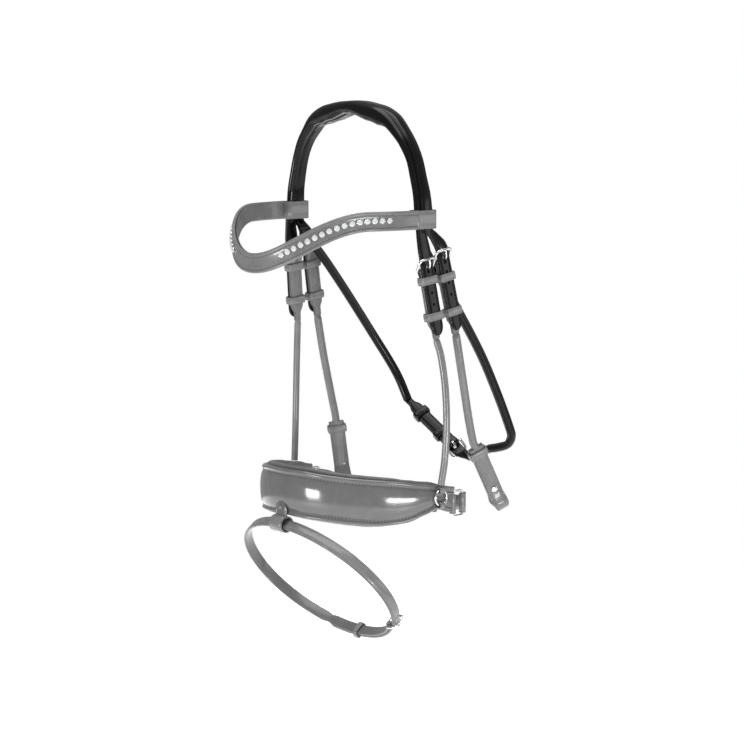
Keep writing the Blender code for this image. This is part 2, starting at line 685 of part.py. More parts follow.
def make_hangers():
    for side, sign in SIDES:
        ring = Vector(RING_CENTRE[side])
        eye = ring + Vector((0, 0, RING_RADIUS))
        points = [hinge_start("hanger", sign), *mirrored(HANGER_MIDDLE, sign), eye + Vector((0, 0, 0.0036))]
        obj = as_mesh(rolled(f"{side}_hanger_strap", points, HANGER_RADIUS, 12))
        bm = bmesh.new()
        cylinder(bm, 0.0036, 0.0070, Matrix.Translation(eye) @ ALONG_Y)
        boolean(obj, as_cutter(mesh_object(f"{side}_hanger_eye", bm)), "UNION")
        bm = bmesh.new()
        cylinder(bm, 0.0021, 0.0160, Matrix.Translation(eye - Vector((0, 0, 0.0003))) @ ALONG_Y)
        boolean(obj, as_cutter(mesh_object(f"{side}_hanger_bore", bm)), "DIFFERENCE")
        finish(obj, "grey_leather")
        circle = [(0.0, RING_RADIUS * math.cos(a), RING_RADIUS * math.sin(a))
                  for a in (math.tau * k / 14 for k in range(14))]
        finish(tube(f"{side}_noseband_ring", circle, RING_WIRE, 2, cyclic=True, matrix=Matrix.Translation(ring)),
               "chrome")


def make_cheeks():
    for side, sign in SIDES:
        top = mirrored([CHEEK_KEEPER[side]], sign)[0]
        end = mirrored([BIT_LOOP_END[side]], sign)[0]
        down = (end - top).normalized()
        points = [hinge_start("cheek", sign), *mirrored(CHEEK_MIDDLE, sign), top - down * 0.008, top]
        finish(rolled(f"{side}_cheek_strap", points, CHEEK_RADIUS, 11), "grey_leather")
        outward = Matrix.Rotation(BIT_LOOP_TURN[side], 3, "Z") @ (X_AXIS * sign)
        place = frame_of(top + down * 0.0004, outward, -down)
        make_bit_loop(side, place, (end - top).length)


def make_bit_loop(side, place, length):
    """A strap end folded into a round loop, with both layers held by a keeper and a hook stud."""
    layer = STRAP_THICK / 2 + 0.0003
    radius = BIT_LOOP_RADIUS
    centre = -(length - radius)
    neck = math.acos((radius + layer) / (radius * 2.0))
    line = [(layer, 0.0), (layer, centre * 0.5)]
    throat = centre + 2.0 * radius * math.sin(neck)
    line.append((layer, throat))
    steps = 8
    sweep = math.pi - (math.pi / 2 - neck)
    for step in range(1, steps):
        angle = math.pi / 2 - neck - sweep * step / steps
        line.append((radius * math.cos(angle), centre + radius * math.sin(angle)))
    bottom = [(0.0022, centre - radius), (-0.0022, centre - radius)]
    profile = [p for p in line if p[1] > centre - radius * 0.93 or p[0] > 0.004]
    profile = profile + bottom + [(-x, z) for x, z in reversed(profile)]
    path = [place @ Vector((x, 0, z)) for x, z in profile]
    across = [place.to_3x3() @ Y_AXIS] * len(path)
    obj = strap(f"{side}_bit_loop", path, across, BIT_LOOP_WIDTH, STRAP_THICK)
    finish(obj, "grey_leather")
    reach = STRAP_THICK + 0.0003
    keeper(f"{side}_bit_keeper", place, -0.0080, width=BIT_LOOP_WIDTH, inner=-reach, outer=reach)
    bm = bmesh.new()
    stud = Matrix.Translation((reach + 0.0009, 0, throat + 0.0060))
    cylinder(bm, 0.0034, 0.0012, place @ stud @ ALONG_X, 16)
    obj = mesh_object(f"{side}_bit_stud", bm)
    finish(obj, "chrome")


def nose_point(angle, outward=0.0):
    x = NOSE_HALF_WIDTH * math.sin(angle)
    y = NOSE_MIDDLE_Y - NOSE_DEPTH * math.cos(angle)
    normal = Vector((math.sin(angle) / NOSE_HALF_WIDTH, -math.cos(angle) / NOSE_DEPTH, 0.0)).normalized()
    return Vector((x, y, 0.0)) + normal * outward, normal


def nose_sheet(name, outward, above, below, thickness, end_angle, count=36):
    """A wall that follows the noseband's curve, its edges moved out above and below."""
    path = []
    widths = []
    for index in range(count + 1):
        share = 2 * index / count - 1
        point, _ = nose_point(share * end_angle, outward)
        drop = NOSE_FAR_DROP * max(-share, 0.0)
        top = graph(NOSE_TOP, abs(share)) + above - drop
        bottom = graph(NOSE_BOTTOM, abs(share)) - below - drop
        path.append(Vector((point.x, point.y, (top + bottom) / 2)))
        widths.append(top - bottom)
    return strap(name, path, [Z_AXIS] * len(path), widths, thickness)


def make_noseband():
    band = nose_sheet("noseband_band", 0.0, 0.0, 0.0, NOSE_THICK, NOSE_END_ANGLE)
    for side, sign in SIDES:
        # A tab that holds the ring, standing off the band's outer face
        low = Vector(RING_CENTRE[side]) - Z_AXIS * RING_RADIUS
        bm = bmesh.new()
        box(bm, (-0.0072, -0.0032, -0.0034), (0.0034, 0.0032, 0.0034),
            Matrix.Translation(low) @ Matrix.Diagonal((sign, 1, 1, 1)))
        bmesh.ops.recalc_face_normals(bm, faces=bm.faces)
        boolean(band, as_cutter(mesh_object(f"{side}_ring_tab", bm)), "UNION")
        bm = bmesh.new()
        cylinder(bm, 0.0022, 0.0160, Matrix.Translation(low + Vector((0, 0, 0.0003))) @ ALONG_Y)
        boolean(band, as_cutter(mesh_object(f"{side}_ring_bore", bm)), "DIFFERENCE")
        # The band's end, folded round the front bar of the loop
        x, y = LOOP_FRONT
        upright_eye(band, f"{side}_band", Vector((sign * x, y, LOOP_Z[side])), 0.0200)
    finish(band, "grey_leather")
    inner = -(NOSE_THICK + NOSE_PAD_THICK) / 2 - LAYER_GAP
    pad = nose_sheet("noseband_padding", inner, *NOSE_PAD_STEPS, NOSE_PAD_THICK, NOSE_PAD_ANGLE)
    finish(pad, "grey_padding")


def upright_eye(obj, name, centre, height):
    """Joins a folded end with an upright bore to a strap, for the bar of a loop."""
    bm = bmesh.new()
    cylinder(bm, LOOP_EYE, height, Matrix.Translation(centre))
    boolean(obj, as_cutter(mesh_object(f"{name}_fold", bm)), "UNION")
    bm = bmesh.new()
    cylinder(bm, WIRE_RADIUS + PIVOT_GAP, height * 2, Matrix.Translation(centre))
    boolean(obj, as_cutter(mesh_object(f"{name}_fold_bore", bm)), "DIFFERENCE")


def crank_plan(plan, side, sign):
    """A closing strap's route, from its loop down to the height of the buckle at the back."""
    start, end = LOOP_Z[side], CRANK_BAR[2]
    steps = len(plan) - 1
    return [Vector((sign * x, y, start + (end - start) * graph(CRANK_FALL, k / steps)))
            for k, (x, y) in enumerate(plan)]


def make_crank():
    """The closing strap behind the jaw: near and far straps buckled together over a chin pad."""
    x, y, z = CRANK_BAR
    place = frame_of(CRANK_BAR, Y_AXIS, X_AXIS)
    for side, sign in SIDES:
        front, rear = (Vector((sign * px, py, LOOP_Z[side])) for px, py in (LOOP_FRONT, LOOP_REAR))
        turned = frame_of((front + rear) / 2, X_AXIS * sign, rear - front)
        half = (rear - front).length / 2
        flat = rounded_box(-half, half, -LOOP_HEIGHT / 2, LOOP_HEIGHT / 2, 0.0025, 2)
        finish(tube(f"{side}_crank_loop", [(0.0, v, u) for u, v in flat], WIRE_RADIUS, 2, cyclic=True,
                    matrix=turned), "chrome")
    for side, sign, plan in (("near", 1, CRANK_NEAR), ("far", -1, CRANK_FAR)):
        if side == "near":
            path = along(crank_plan(plan, side, sign), 12) + [Vector((0.030, y, z)), Vector((0.006, y, z))]
            tip = Vector((CRANK_TIP_X, y, z))
            path += [path[-1].lerp(tip, share) for share in (0.5, 0.7, 0.85, 0.94, 1.0)]
            widths = pointed(path, BILLET_WIDTH, CRANK_EYE_HEIGHT)
        else:
            joined = place @ Vector(((CHAPE_OUT + CHAPE_IN) / 2, 0, -0.0497))
            path = along(crank_plan(plan, side, sign) + [joined], 12)
            widths = pointed(path + [path[-1] + X_AXIS * 0.1], CHAPE_WIDTH - 0.0004, CRANK_EYE_HEIGHT)[:-1]
        obj = strap(f"crank_{side}_strap", path, [Z_AXIS] * len(path), widths, STRAP_THICK)
        centre = Vector((sign * LOOP_REAR[0], LOOP_REAR[1], LOOP_Z[side]))
        if side == "far":
            add_chape(obj, place, 0.056, CHAPE_WIDTH / 2, CHAPE_WIDTH)
        else:
            boolean(obj, tongue_slot("crank", place), "DIFFERENCE")
        upright_eye(obj, f"{side}_crank", centre, 0.0200)
        finish(obj, "grey_leather")
    buckle_frame("crank_buckle_frame", place, BILLET_WIDTH)
    buckle_tongue("crank_tongue", place)
    keeper("crank_keeper", place, -0.0330)
    length, thick, tall = CHIN_PAD_SIZE
    pad_path = [Vector((length * (i / 10 - 0.5), CHIN_PAD_Y - 0.006 * (2 * i / 10 - 1) ** 2, z))
                for i in range(11)]
    tallness = [tall * math.sqrt(max(1 - 0.72 * (2 * i / 10 - 1) ** 4, 0)) for i in range(11)]
    finish(strap("chin_pad", pad_path, [Z_AXIS] * 11, tallness, thick), "grey_padding")


def add_chape(obj, place, length, end_radius, width):
    """Joins a folded buckle end to a strap."""
    end = chape(f"{obj.name}_chape", place, length, end_radius, width=width)
    boolean(obj, as_cutter(end), "UNION")


def make_throatlatch():
    place = frame_of(THROAT_BAR, THROAT_OUTWARD, THROAT_UP)
    bend = [place @ Vector((x, 0, z)) for x, z in THROAT_BEND]
    near = as_mesh(rolled("throat_near_strap", [*mirrored(THROAT_NEAR, 1), bend[0]], THROAT_RADIUS, 30))
    flat = along([bend[0] + (bend[0] - bend[1]) * 0.9, *bend], 8)
    tip = place @ Vector((0, 0, -THROAT_TIP))
    flat += [bend[-1].lerp(tip, share) for share in (0.3, 0.6, 0.85, 0.92, 0.97, 1.0)]
    bm = bmesh.new()
    across = place.to_3x3() @ Y_AXIS
    sheet(bm, flat, across_axes(flat, across), pointed(flat, THROAT_WIDTH, THROAT_RADIUS * 1.7))
    billet = mesh_object("throat_billet", bm)
    solidify(billet, STRAP_THICK)
    boolean(near, as_cutter(billet), "UNION")
    boolean(near, tongue_slot("throat", place), "DIFFERENCE")
    bm = bmesh.new()
    for step in (-3, -2, -1, 1):
        up = Matrix.Translation((0, 0, step * HOLE_PITCH + 0.0012))
        cylinder(bm, HOLE_RADIUS, 0.0028, place @ up @ ALONG_X, 6)
    boolean(near, as_cutter(mesh_object("throat_holes", bm)), "DIFFERENCE")
    finish(near, "black_leather")
    joined = place @ Vector(((CHAPE_OUT + CHAPE_IN) / 2, 0, -THROAT_CHAPE + 0.002))
    far = as_mesh(rolled("throat_far_strap", [*mirrored(THROAT_FAR, -1), joined], THROAT_RADIUS, 13))
    add_chape(far, place, THROAT_CHAPE, THROAT_RADIUS * 0.8, THROAT_WIDTH - 0.0004)
    finish(far, "black_leather")
    buckle_frame("throat_buckle_frame", place, THROAT_WIDTH)
    buckle_tongue("throat_tongue", place)
    keeper("throat_keeper", place, -0.0200, "black_leather", THROAT_WIDTH)
    keeper("throat_runner", place, -0.0540, "black_leather", THROAT_WIDTH)


def flash_axes():
    top, down = Vector(FLASH_TOP), Vector(FLASH_DOWN)
    return (top + down) / 2, (down - top).normalized(), (down - top).length / 2


def flash_point(degrees, outward=0.0):
    """A point on the flash hoop: 270 degrees is its front, under the noseband, and 0 its near side."""
    centre, slope, depth = flash_axes()
    angle = math.radians(degrees)
    normal = X_AXIS * math.cos(angle) / FLASH_HALF_WIDTH + slope * math.sin(angle) / depth
    normal.normalize()
    point = centre + X_AXIS * FLASH_HALF_WIDTH * math.cos(angle) + slope * depth * math.sin(angle)
    return point + normal * outward, normal


def flash_place(degrees, outward=0.0):
    point, normal = flash_point(degrees, outward)
    ahead, _ = flash_point(degrees + 1, outward)
    return frame_of(point, normal, point - ahead)


def make_flash():
    """One strap that starts at the buckle, runs round the muzzle and ends over its own start."""
    _, slope, _ = flash_axes()
    low, high = FLASH_RISE_DEG
    stops = list(range(FLASH_BUCKLE_DEG, 360 + FLASH_TIP_DEG - 3, 8))
    stops += [360 + FLASH_TIP_DEG - 4, 360 + FLASH_TIP_DEG - 1.5, 360 + FLASH_TIP_DEG]
    path = []
    for degrees in stops:
        share = min(max((degrees - low) / (high - low), 0.0), 1.0)
        eased = share * share * (3 - 2 * share)
        path.append(flash_point(degrees, FLASH_LAYER * (eased - 1))[0])
    across = X_AXIS.cross(slope).normalized()
    widths = pointed(path, FLASH_WIDTH, FLASH_WIDTH, 0.008)
    obj = strap("flash_strap", path, [across] * len(path), widths, STRAP_THICK)
    place = flash_place(FLASH_BUCKLE_DEG)
    bm = bmesh.new()
    cylinder(bm, EYE_RADIUS - 0.0001, FLASH_WIDTH - 0.0006, Matrix.Translation((BAR_X, 0, 0)) @ ALONG_Y)
    boolean(obj, as_cutter(mesh_object("flash_eye", bm, place)), "UNION")
    for cutter in chape_cuts("flash_chape", place, FLASH_WIDTH):
        boolean(obj, cutter, "DIFFERENCE")
    boolean(obj, tongue_slot("flash", place), "DIFFERENCE")
    finish(obj, "grey_leather")
    buckle_frame("flash_buckle_frame", place, FLASH_WIDTH)
    buckle_tongue("flash_tongue", place)
    inner = -FLASH_LAYER - STRAP_THICK / 2
    keeper("flash_keeper", flash_place(FLASH_KEEPER_DEG), 0.0, width=FLASH_WIDTH, inner=inner, height=0.0075)


def make_flash_loop():
    """The leather loop under the noseband's front that the flash strap runs through, and its rivet."""
    front = NOSE_MIDDLE_Y - NOSE_DEPTH - NOSE_THICK / 2 - 0.0010
    centre, _ = flash_point(270, -FLASH_LAYER)
    wall = FLASH_LOOP_WALL
    rings = []
    for radius in (FLASH_LOOP_RADIUS + wall, FLASH_LOOP_RADIUS):
        rings.append([(radius * math.cos(a), radius * math.sin(a)) for a in (math.tau * k / 16 for k in range(16))])
    obj = as_mesh(outline("noseband_flash_loop", rings, FLASH_LOOP_WIDTH, Matrix.Translation(centre) @ ALONG_X))
    half = FLASH_LOOP_WIDTH / 2 - 0.001
    bm = bmesh.new()
    box(bm, (-half, front - wall, centre.z + FLASH_LOOP_RADIUS + 0.0003), (half, front, -0.3950))
    boolean(obj, as_cutter(mesh_object("flash_loop_tab", bm)), "UNION")
    finish(obj, "grey_leather")
    bm = bmesh.new()
    seat = Matrix.Translation((0.0, front - wall - LAYER_GAP - 0.0006, -0.4000)) @ ALONG_Y
    cylinder(bm, 0.0028, 0.0012, seat, 14)
    finish(mesh_object("flash_loop_rivet", bm), "chrome")


def hang(name, point, pieces):
    """Parents the pieces that move together to an empty on their joint's axis, without moving them."""
    pivot = put(name, None, Matrix.Translation(point))
    for piece in pieces:
        obj = parts.objects[piece]
        obj.parent = pivot
        obj.matrix_parent_inverse = Matrix.Translation(point).inverted()


def make_pivots():
    for side, sign in SIDES:
        hang(f"{side}_hanger_hinge", hinge_start("hanger", sign), (f"{side}_hanger_strap", f"{side}_noseband_ring"))
        hang(f"{side}_cheek_hinge", hinge_start("cheek", sign),
             (f"{side}_cheek_strap", f"{side}_bit_loop", f"{side}_bit_keeper", f"{side}_bit_stud"))
    hang("noseband_hinge", RING_CENTRE["near"],
         ("noseband_band", "noseband_padding", "near_crank_loop", "far_crank_loop", "crank_near_strap",
          "crank_far_strap", "crank_buckle_frame", "crank_keeper", "chin_pad", "noseband_flash_loop",
          "flash_loop_rivet"))
    hang("throatlatch_hinge", THROAT_NEAR[0],
         ("throat_near_strap", "throat_far_strap", "throat_buckle_frame", "throat_keeper"))
    hang("flash_hinge", flash_point(270, -FLASH_LAYER)[0], ("flash_strap", "flash_buckle_frame", "flash_keeper"))
    hang("browband_slide", (0.0, BAND_START_Y, BAND_Z),
         ("browband_strap", "browband_lining", "near_crystal_row", "far_crystal_row"))


make_crown()
make_crown_padding()
make_browband()
make_crystals()
make_stacks()
make_hangers()
make_cheeks()
make_noseband()
make_crank()
make_throatlatch()
make_flash()
make_flash_loop()
make_pivots()
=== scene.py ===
"""Looks of a snaffle bridle: detailed leather, thread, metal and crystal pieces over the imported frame.

+X is the horse's near (left) side, -Y is the front and +Z is up, in metres.
"""

import itertools
import math

import bmesh
import bpy
from mathutils import Matrix, Vector


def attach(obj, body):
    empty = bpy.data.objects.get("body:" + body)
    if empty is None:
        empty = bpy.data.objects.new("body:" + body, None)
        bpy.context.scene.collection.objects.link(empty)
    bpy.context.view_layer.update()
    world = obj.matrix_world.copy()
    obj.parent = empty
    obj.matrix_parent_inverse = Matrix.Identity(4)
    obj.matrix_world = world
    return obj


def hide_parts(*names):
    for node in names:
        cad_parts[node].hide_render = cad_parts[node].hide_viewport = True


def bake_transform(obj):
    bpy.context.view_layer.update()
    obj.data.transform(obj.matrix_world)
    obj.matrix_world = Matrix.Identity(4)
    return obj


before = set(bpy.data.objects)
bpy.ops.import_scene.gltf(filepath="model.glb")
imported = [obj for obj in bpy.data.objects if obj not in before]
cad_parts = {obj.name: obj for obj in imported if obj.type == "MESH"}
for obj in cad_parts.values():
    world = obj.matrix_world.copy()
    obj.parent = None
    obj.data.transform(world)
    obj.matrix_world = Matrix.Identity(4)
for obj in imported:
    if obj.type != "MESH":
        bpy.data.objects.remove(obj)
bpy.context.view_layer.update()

SIDES = (("near", 1), ("far", -1))
X_AXIS = Vector((1, 0, 0))
Y_AXIS = Vector((0, 1, 0))
Z_AXIS = Vector((0, 0, 1))
MM = 0.001
CURVE_STEPS = 24

# Leather
STRAP_THICK = 0.0026
CHAPE_THICK = 0.004
LAYER_GAP = 0.00035
BILLET_WIDTH = 0.016
CHAPE_WIDTH = 0.0156
HANGER_RADIUS = 0.0036
CHEEK_RADIUS = 0.0042
THROAT_RADIUS = 0.0048

# Crown: half the route of the strap's middle plane over the poll, as x and z
CROWN_THICK = 0.0036
CROWN_HALF = ((0.006, 0.0115), (0.0343, 0.0076), (0.0515, 0.0029), (0.0621, -0.0034), (0.0727, -0.0152),
              (0.0843, -0.0297), (0.0912, -0.0429), (0.0969, -0.0613), (0.1017, -0.0799), (0.1031, -0.0932),
              (0.1039, -0.105), (0.1043, -0.118))
CROWN_SEGMENTS = 31
# By the share of the way from the poll to a leg's end: the y of each edge, how far the strap starts behind
# the padding's front, and the fullness of the padding
CROWN_FRONT = ((0.0, -0.0225), (0.27, -0.02), (0.6, -0.015), (1.0, -0.0147))
CROWN_REAR = ((0.0, 0.007), (0.27, 0.0035), (0.7, 0.0048), (0.87, 0.0068), (1.0, 0.0068))
CROWN_SETBACK = ((0.0, 0.0085), (0.5, 0.0065), (1.0, 0.005))
CROWN_PAD_THICK = 0.013
CROWN_PAD_SHARE = ((0.0, 0.72), (0.04, 0.72), (0.16, 1.0), (0.27, 1.0), (0.36, 0.62), (0.48, 0.38),
                   (0.6, 0.3), (1.0, 0.27))

# Sewing: how high a stitch's middle lies on a strap, and its length's, width's and height's shares along it
SEWN_HEIGHT = STRAP_THICK / 2 - 0.05 * MM
STITCH = ((-0.5, 0.25, -0.9), (-0.34, 0.85, -0.1), (0.0, 1.0, 0.35), (0.34, 0.85, -0.1), (0.5, 0.25, -0.9))
# The angles of a rolled strap's domed end
DOME = [math.radians(degrees) for degrees in (8, 22, 38, 55, 72)]

# Billets: a route of the middle plane of each, near side
HANGER_BILLET = ((0.1036, -0.0092, -0.106), (0.1044, -0.0085, -0.118), (0.1148, 0.0058, -0.2215))
CHEEK_BILLET = ((0.1036, 0.0024, -0.106), (0.1041, 0.0028, -0.1155), (0.1052, 0.0085, -0.1225),
                (0.107, 0.0165, -0.1335), (0.1138, 0.033, -0.218))
BILLETS = {"hanger": (HANGER_BILLET, HANGER_RADIUS), "cheek": (CHEEK_BILLET, CHEEK_RADIUS)}
BILLET_ROOT = {"hanger": 0.0125, "cheek": 0.0085}
ROOT_LENGTH = (0.01, 0.028)
BAR_ALONG = {"hanger": 0.067, "cheek": 0.0725}
KEEPER_DROP = {"hanger": 0.01, "cheek": 0.0165}
RUNNER_ALONG = 0.02
HOLE_PITCH = 0.012
HOLE_RADIUS = 0.0015
HOLES_ABOVE = 1
HOLES_BELOW = 3
TONGUE_SLOT = (0.0034, 0.0072)

# Buckles
WIRE_RADIUS = 0.0014
TONGUE_RADIUS = 0.001
BUCKLE_HEIGHT = 0.014
EYE_RADIUS = 0.0031
SIDE_GAP = 0.001
CHAPE_OUT = -STRAP_THICK / 2 - LAYER_GAP
CHAPE_IN = CHAPE_OUT - CHAPE_THICK
CHAPE_MIDDLE = (CHAPE_OUT + CHAPE_IN) / 2
CHAPE_PAST_BAR = 0.003
HINGE_GAP = 0.0004
BAR_X = CHAPE_OUT - EYE_RADIUS
FRAME_TOP_X = STRAP_THICK / 2 + LAYER_GAP + WIRE_RADIUS
LEAN = math.asin((FRAME_TOP_X - BAR_X) / BUCKLE_HEIGHT)

# Keepers
KEEPER_WALL = 0.0016
KEEPER_HEIGHT = 0.0084
KEEPER_GAP = 0.00045

# Browband
BAND_HALF_WIDTH = 0.1072
BAND_REACH = 0.138
BAND_START_Y = -0.005
BAND_Z = -0.104
BAND_DIP = 0.043
BAND_DIP_SPAN = math.radians(63)
BAND_DIP_POWER = 1.03
BAND_END_ANGLE = math.radians(85.2)
BAND_HEIGHT_FRONT = 0.0205
BAND_HEIGHT_END = 0.0195
BAND_LINING_ANGLE = math.radians(76)
BAND_THICK = 0.0036
BAND_LINING_THICK = 0.0022
SLEEVE_WALL = 0.0022
SLEEVE_X = (0.0962, 0.1066)
SLEEVE_Y = (-0.0157, 0.0078)
CRYSTALS = 16
CRYSTAL_FIRST = math.radians(20.5)
CRYSTAL_LAST = math.radians(71)
CRYSTAL_LIFT = 0.0008
STONE_RADIUS = 0.0029
# In millimetres: a stone's rows as (height, share of its radius), a cup's wall as (height, radius)
STONE_ROWS = ((0.0, 0.92), (0.9, 1.0), (1.35, 0.98), (2.1, 0.74), (2.5, 0.52))
CUP_PROFILE = ((0.0, 2.2), (0.0, 3.0), (0.9, 3.15), (1.2, 3.1), (1.2, 2.98), (0.3, 2.92))

# Noseband
NOSE_HALF_WIDTH = 0.116
NOSE_DEPTH = 0.15
NOSE_MIDDLE_Y = 0.047
NOSE_END_ANGLE = math.radians(81.5)
NOSE_PAD_ANGLE = math.radians(77)
NOSE_THICK = 0.004
NOSE_PAD_THICK = 0.007
NOSE_TOP = ((0.0, -0.3605), (0.15, -0.36), (0.31, -0.3625), (0.58, -0.367), (0.72, -0.3695), (0.89, -0.3745),
            (1.0, -0.379))
NOSE_BOTTOM = ((0.0, -0.408), (0.31, -0.4105), (0.58, -0.4145), (0.72, -0.4145), (0.8, -0.41), (0.89, -0.401),
               (0.93, -0.4), (1.0, -0.406))
NOSE_FAR_DROP = 0.0065
NOSE_KNOTS = 24
NOSE_STEPS = 150
NOSE_PAD_STEPS = (0.0032, 0.0018)
HANGER_MIDDLE = ((0.1155, 0.0092, -0.244), (0.1195, 0.0113, -0.275), (0.1213, 0.0117, -0.312),
                 (0.1206, 0.01, -0.348))
RING_RADIUS = 0.0078
RING_WIRE = 0.0012
RING_CENTRE = {"near": (0.1186, 0.007, -0.388), "far": (-0.1186, 0.007, -0.3939)}
LOOP_Z = {"near": -0.3975, "far": -0.404}
LOOP_HEIGHT = 0.026
LOOP_FRONT = (0.1149, 0.0266)
LOOP_REAR = (0.1158, 0.039)
CRANK_BAR = (0.026, 0.081, -0.412)
CRANK_FALL = ((0.0, 0.0), (0.2, 0.1), (0.8, 0.92), (1.0, 1.0))
CRANK_TIP_X = -0.024
CRANK_NEAR = ((0.1158, 0.039), (0.11, 0.048), (0.095, 0.06), (0.076, 0.071), (0.055, 0.0785),
              (0.04, 0.081))
CRANK_FAR = ((0.1158, 0.039), (0.108, 0.046), (0.091, 0.056), (0.072, 0.066), (0.054, 0.073))
CRANK_EYE_HEIGHT = 0.022
CHIN_PAD_SIZE = (0.084, 0.008, 0.032)
CHIN_PAD_Y = 0.0675

# Cheekpieces and bit loops
CHEEK_MIDDLE = ((0.111, 0.0425, -0.2655), (0.1102, 0.0525, -0.31))
CHEEK_KEEPER = {"near": (0.109, 0.064, -0.343), "far": (0.1095, 0.059, -0.341)}
BIT_LOOP_END = {"near": (0.105, 0.106, -0.412), "far": (0.109, 0.07, -0.412)}
BIT_LOOP_TURN = {"near": math.radians(-26), "far": math.radians(-30)}
BIT_LOOP_WIDTH = 0.0165
BIT_LOOP_RADIUS = 0.0078
# Profiles of the hook stud and the loop's rivet: heights in millimetres and shares of the radius
STUD = ((0.0, 0.4), (0.5, 0.4), (0.62, 0.9), (1.1, 1.0), (1.55, 0.8), (1.75, 0.35))
RIVET = ((0.0, 1.0), (0.35, 1.0), (0.8, 0.85), (1.15, 0.5), (1.25, 0.15))

# Throatlatch: the stub under each leg of the crown that carries it, and the routes of its straps' middles,
# the far one mirrored
THROAT_STUB = ((0.1036, 0.001, -0.112), (0.1, 0.001, -0.118), (0.0958, 0.001, -0.1212),
               (0.0952, 0.001, -0.1246))
THROAT_NEAR = ((0.095, 0.001, -0.13), (0.095, 0.036, -0.179), (0.0962, 0.08, -0.244),
               (0.0968, 0.106, -0.291), (0.0962, 0.125, -0.329), (0.0936, 0.1312, -0.3415),
               (0.085, 0.1335, -0.351), (0.07, 0.1328, -0.3562), (0.054, 0.132, -0.3605))
THROAT_FAR = ((0.094, 0.001, -0.13), (0.093, 0.023, -0.1515), (0.0925, 0.054, -0.189),
              (0.086, 0.0905, -0.242), (0.074, 0.1155, -0.287))
THROAT_BAR = (0.0, 0.1345, -0.363)
THROAT_UP = (0.83, 0.108, -0.546)
THROAT_OUTWARD = (0.0, 0.55, -0.83)
THROAT_BEND = ((-0.015, 0.033), (-0.0096, 0.026), (-0.004, 0.018), (-0.001, 0.0115), (0.0, 0.005))
THROAT_TIP = 0.066
THROAT_CHAPE = 0.08
THROAT_WIDTH = 0.014

# Flash strap: an elliptical hoop below the noseband
FLASH_TOP = Vector((0.0, -0.1092, -0.4152))
FLASH_DOWN = Vector((0.0, -0.0035, -0.5475))
FLASH_CENTRE = (FLASH_TOP + FLASH_DOWN) / 2
FLASH_SLOPE = (FLASH_DOWN - FLASH_TOP).normalized()
FLASH_DEPTH = (FLASH_DOWN - FLASH_TOP).length / 2
FLASH_HALF_WIDTH = 0.1045
FLASH_WIDTH = 0.012
FLASH_BUCKLE_DEG = 38
FLASH_TIP_DEG = 112
FLASH_RISE_DEG = (300, 385)
FLASH_LAYER = STRAP_THICK + LAYER_GAP
FLASH_KEEPER_DEG = 88
FLASH_LOOP_RADIUS = 0.0069
FLASH_LOOP_WALL = 0.0018
FLASH_LOOP_WIDTH = 0.02
FLASH_TAB_TOP = -0.3945
FLASH_RIVET_Z = -0.4

FLOOR_LEVEL = -0.95
FLOOR_RADIUS = 2.2


def mirrored(points, sign):
    return [Vector((sign * x, y, z)) for x, y, z in points]


def spaced(low, high, count):
    """Evenly spaced numbers, count + 1 of them."""
    return [low + (high - low) * k / count for k in range(count + 1)]


def eased(value):
    """A smooth step from 0 to 1."""
    share = min(max(value, 0.0), 1.0)
    return share * share * (3 - 2 * share)


def places_along(path, count):
    """Evenly spaced places on a polyline, each as a point's index and the share of the way to the next."""
    lengths = [0.0]
    for p, q in zip(path, path[1:]):
        lengths.append(lengths[-1] + (q - p).length)
    places = []
    at = 0
    for want in spaced(0, lengths[-1], count):
        while at < len(path) - 2 and lengths[at + 1] < want:
            at += 1
        places.append((at, (want - lengths[at]) / max(lengths[at + 1] - lengths[at], 1e-9)))
    return places


def pitched(path, pitch):
    """Places on a polyline that are about one pitch apart."""
    length = sum((q - p).length for p, q in zip(path, path[1:]))
    return places_along(path, max(int(length / pitch), 1))


def between(values, place):
    at, share = place
    return values[at].lerp(values[at + 1], share)


def along(points, count):
    """A smooth curve through the points, as count + 1 evenly spaced ones."""
    points = [Vector(p) for p in points]
    padded = [2 * points[0] - points[1], *points, 2 * points[-1] - points[-2]]
    fine = []
    for a, b, c, d in zip(padded, padded[1:], padded[2:], padded[3:]):
        for t in spaced(0, 1, CURVE_STEPS)[:-1]:
            fine.append(0.5 * (2 * b + (c - a) * t + (2 * a - 5 * b + 4 * c - d) * t**2
                               + (3 * b - a - 3 * c + d) * t**3))
    fine.append(points[-1])
    return [between(fine, place) for place in places_along(fine, count)]


def graph(table, t):
    """A value read off a table of (position, value) pairs, with straight lines between them."""
    for (t0, v0), (t1, v1) in zip(table, table[1:]):
        if t <= t1:
            return v0 + (v1 - v0) * ((t - t0) / (t1 - t0))
    return table[-1][1]


def arc(cu, cv, radius, start, end, steps, tag=0.0):
    return [(cu + radius * math.cos(angle), cv + radius * math.sin(angle), tag)
            for angle in map(math.radians, spaced(start, end, steps))]


def circle(centre, u, v, radius, count):
    """A ring of points round a centre, in the plane of two directions."""
    return [centre + (u * math.cos(a) + v * math.sin(a)) * radius for a in spaced(0, math.tau, count)[:-1]]


def rounded_box(x0, x1, y0, y1, radius, steps):
    corners = ((x1 - radius, y1 - radius, 0), (x0 + radius, y1 - radius, 90),
               (x0 + radius, y0 + radius, 180), (x1 - radius, y0 + radius, 270))
    return [(x, y) for cx, cy, start in corners for x, y, _ in arc(cx, cy, radius, start, start + 90, steps)]


def frame_of(origin, outward, up):
    """A right-handed placement: local +X is outward, +Z is up the strap and +Y lies across it."""
    z = Vector(up).normalized()
    x = Vector(outward)
    x = (x - x.dot(z) * z).normalized()
    made = Matrix((x, z.cross(x), z)).transposed().to_4x4()
    made.translation = Vector(origin)
    return made


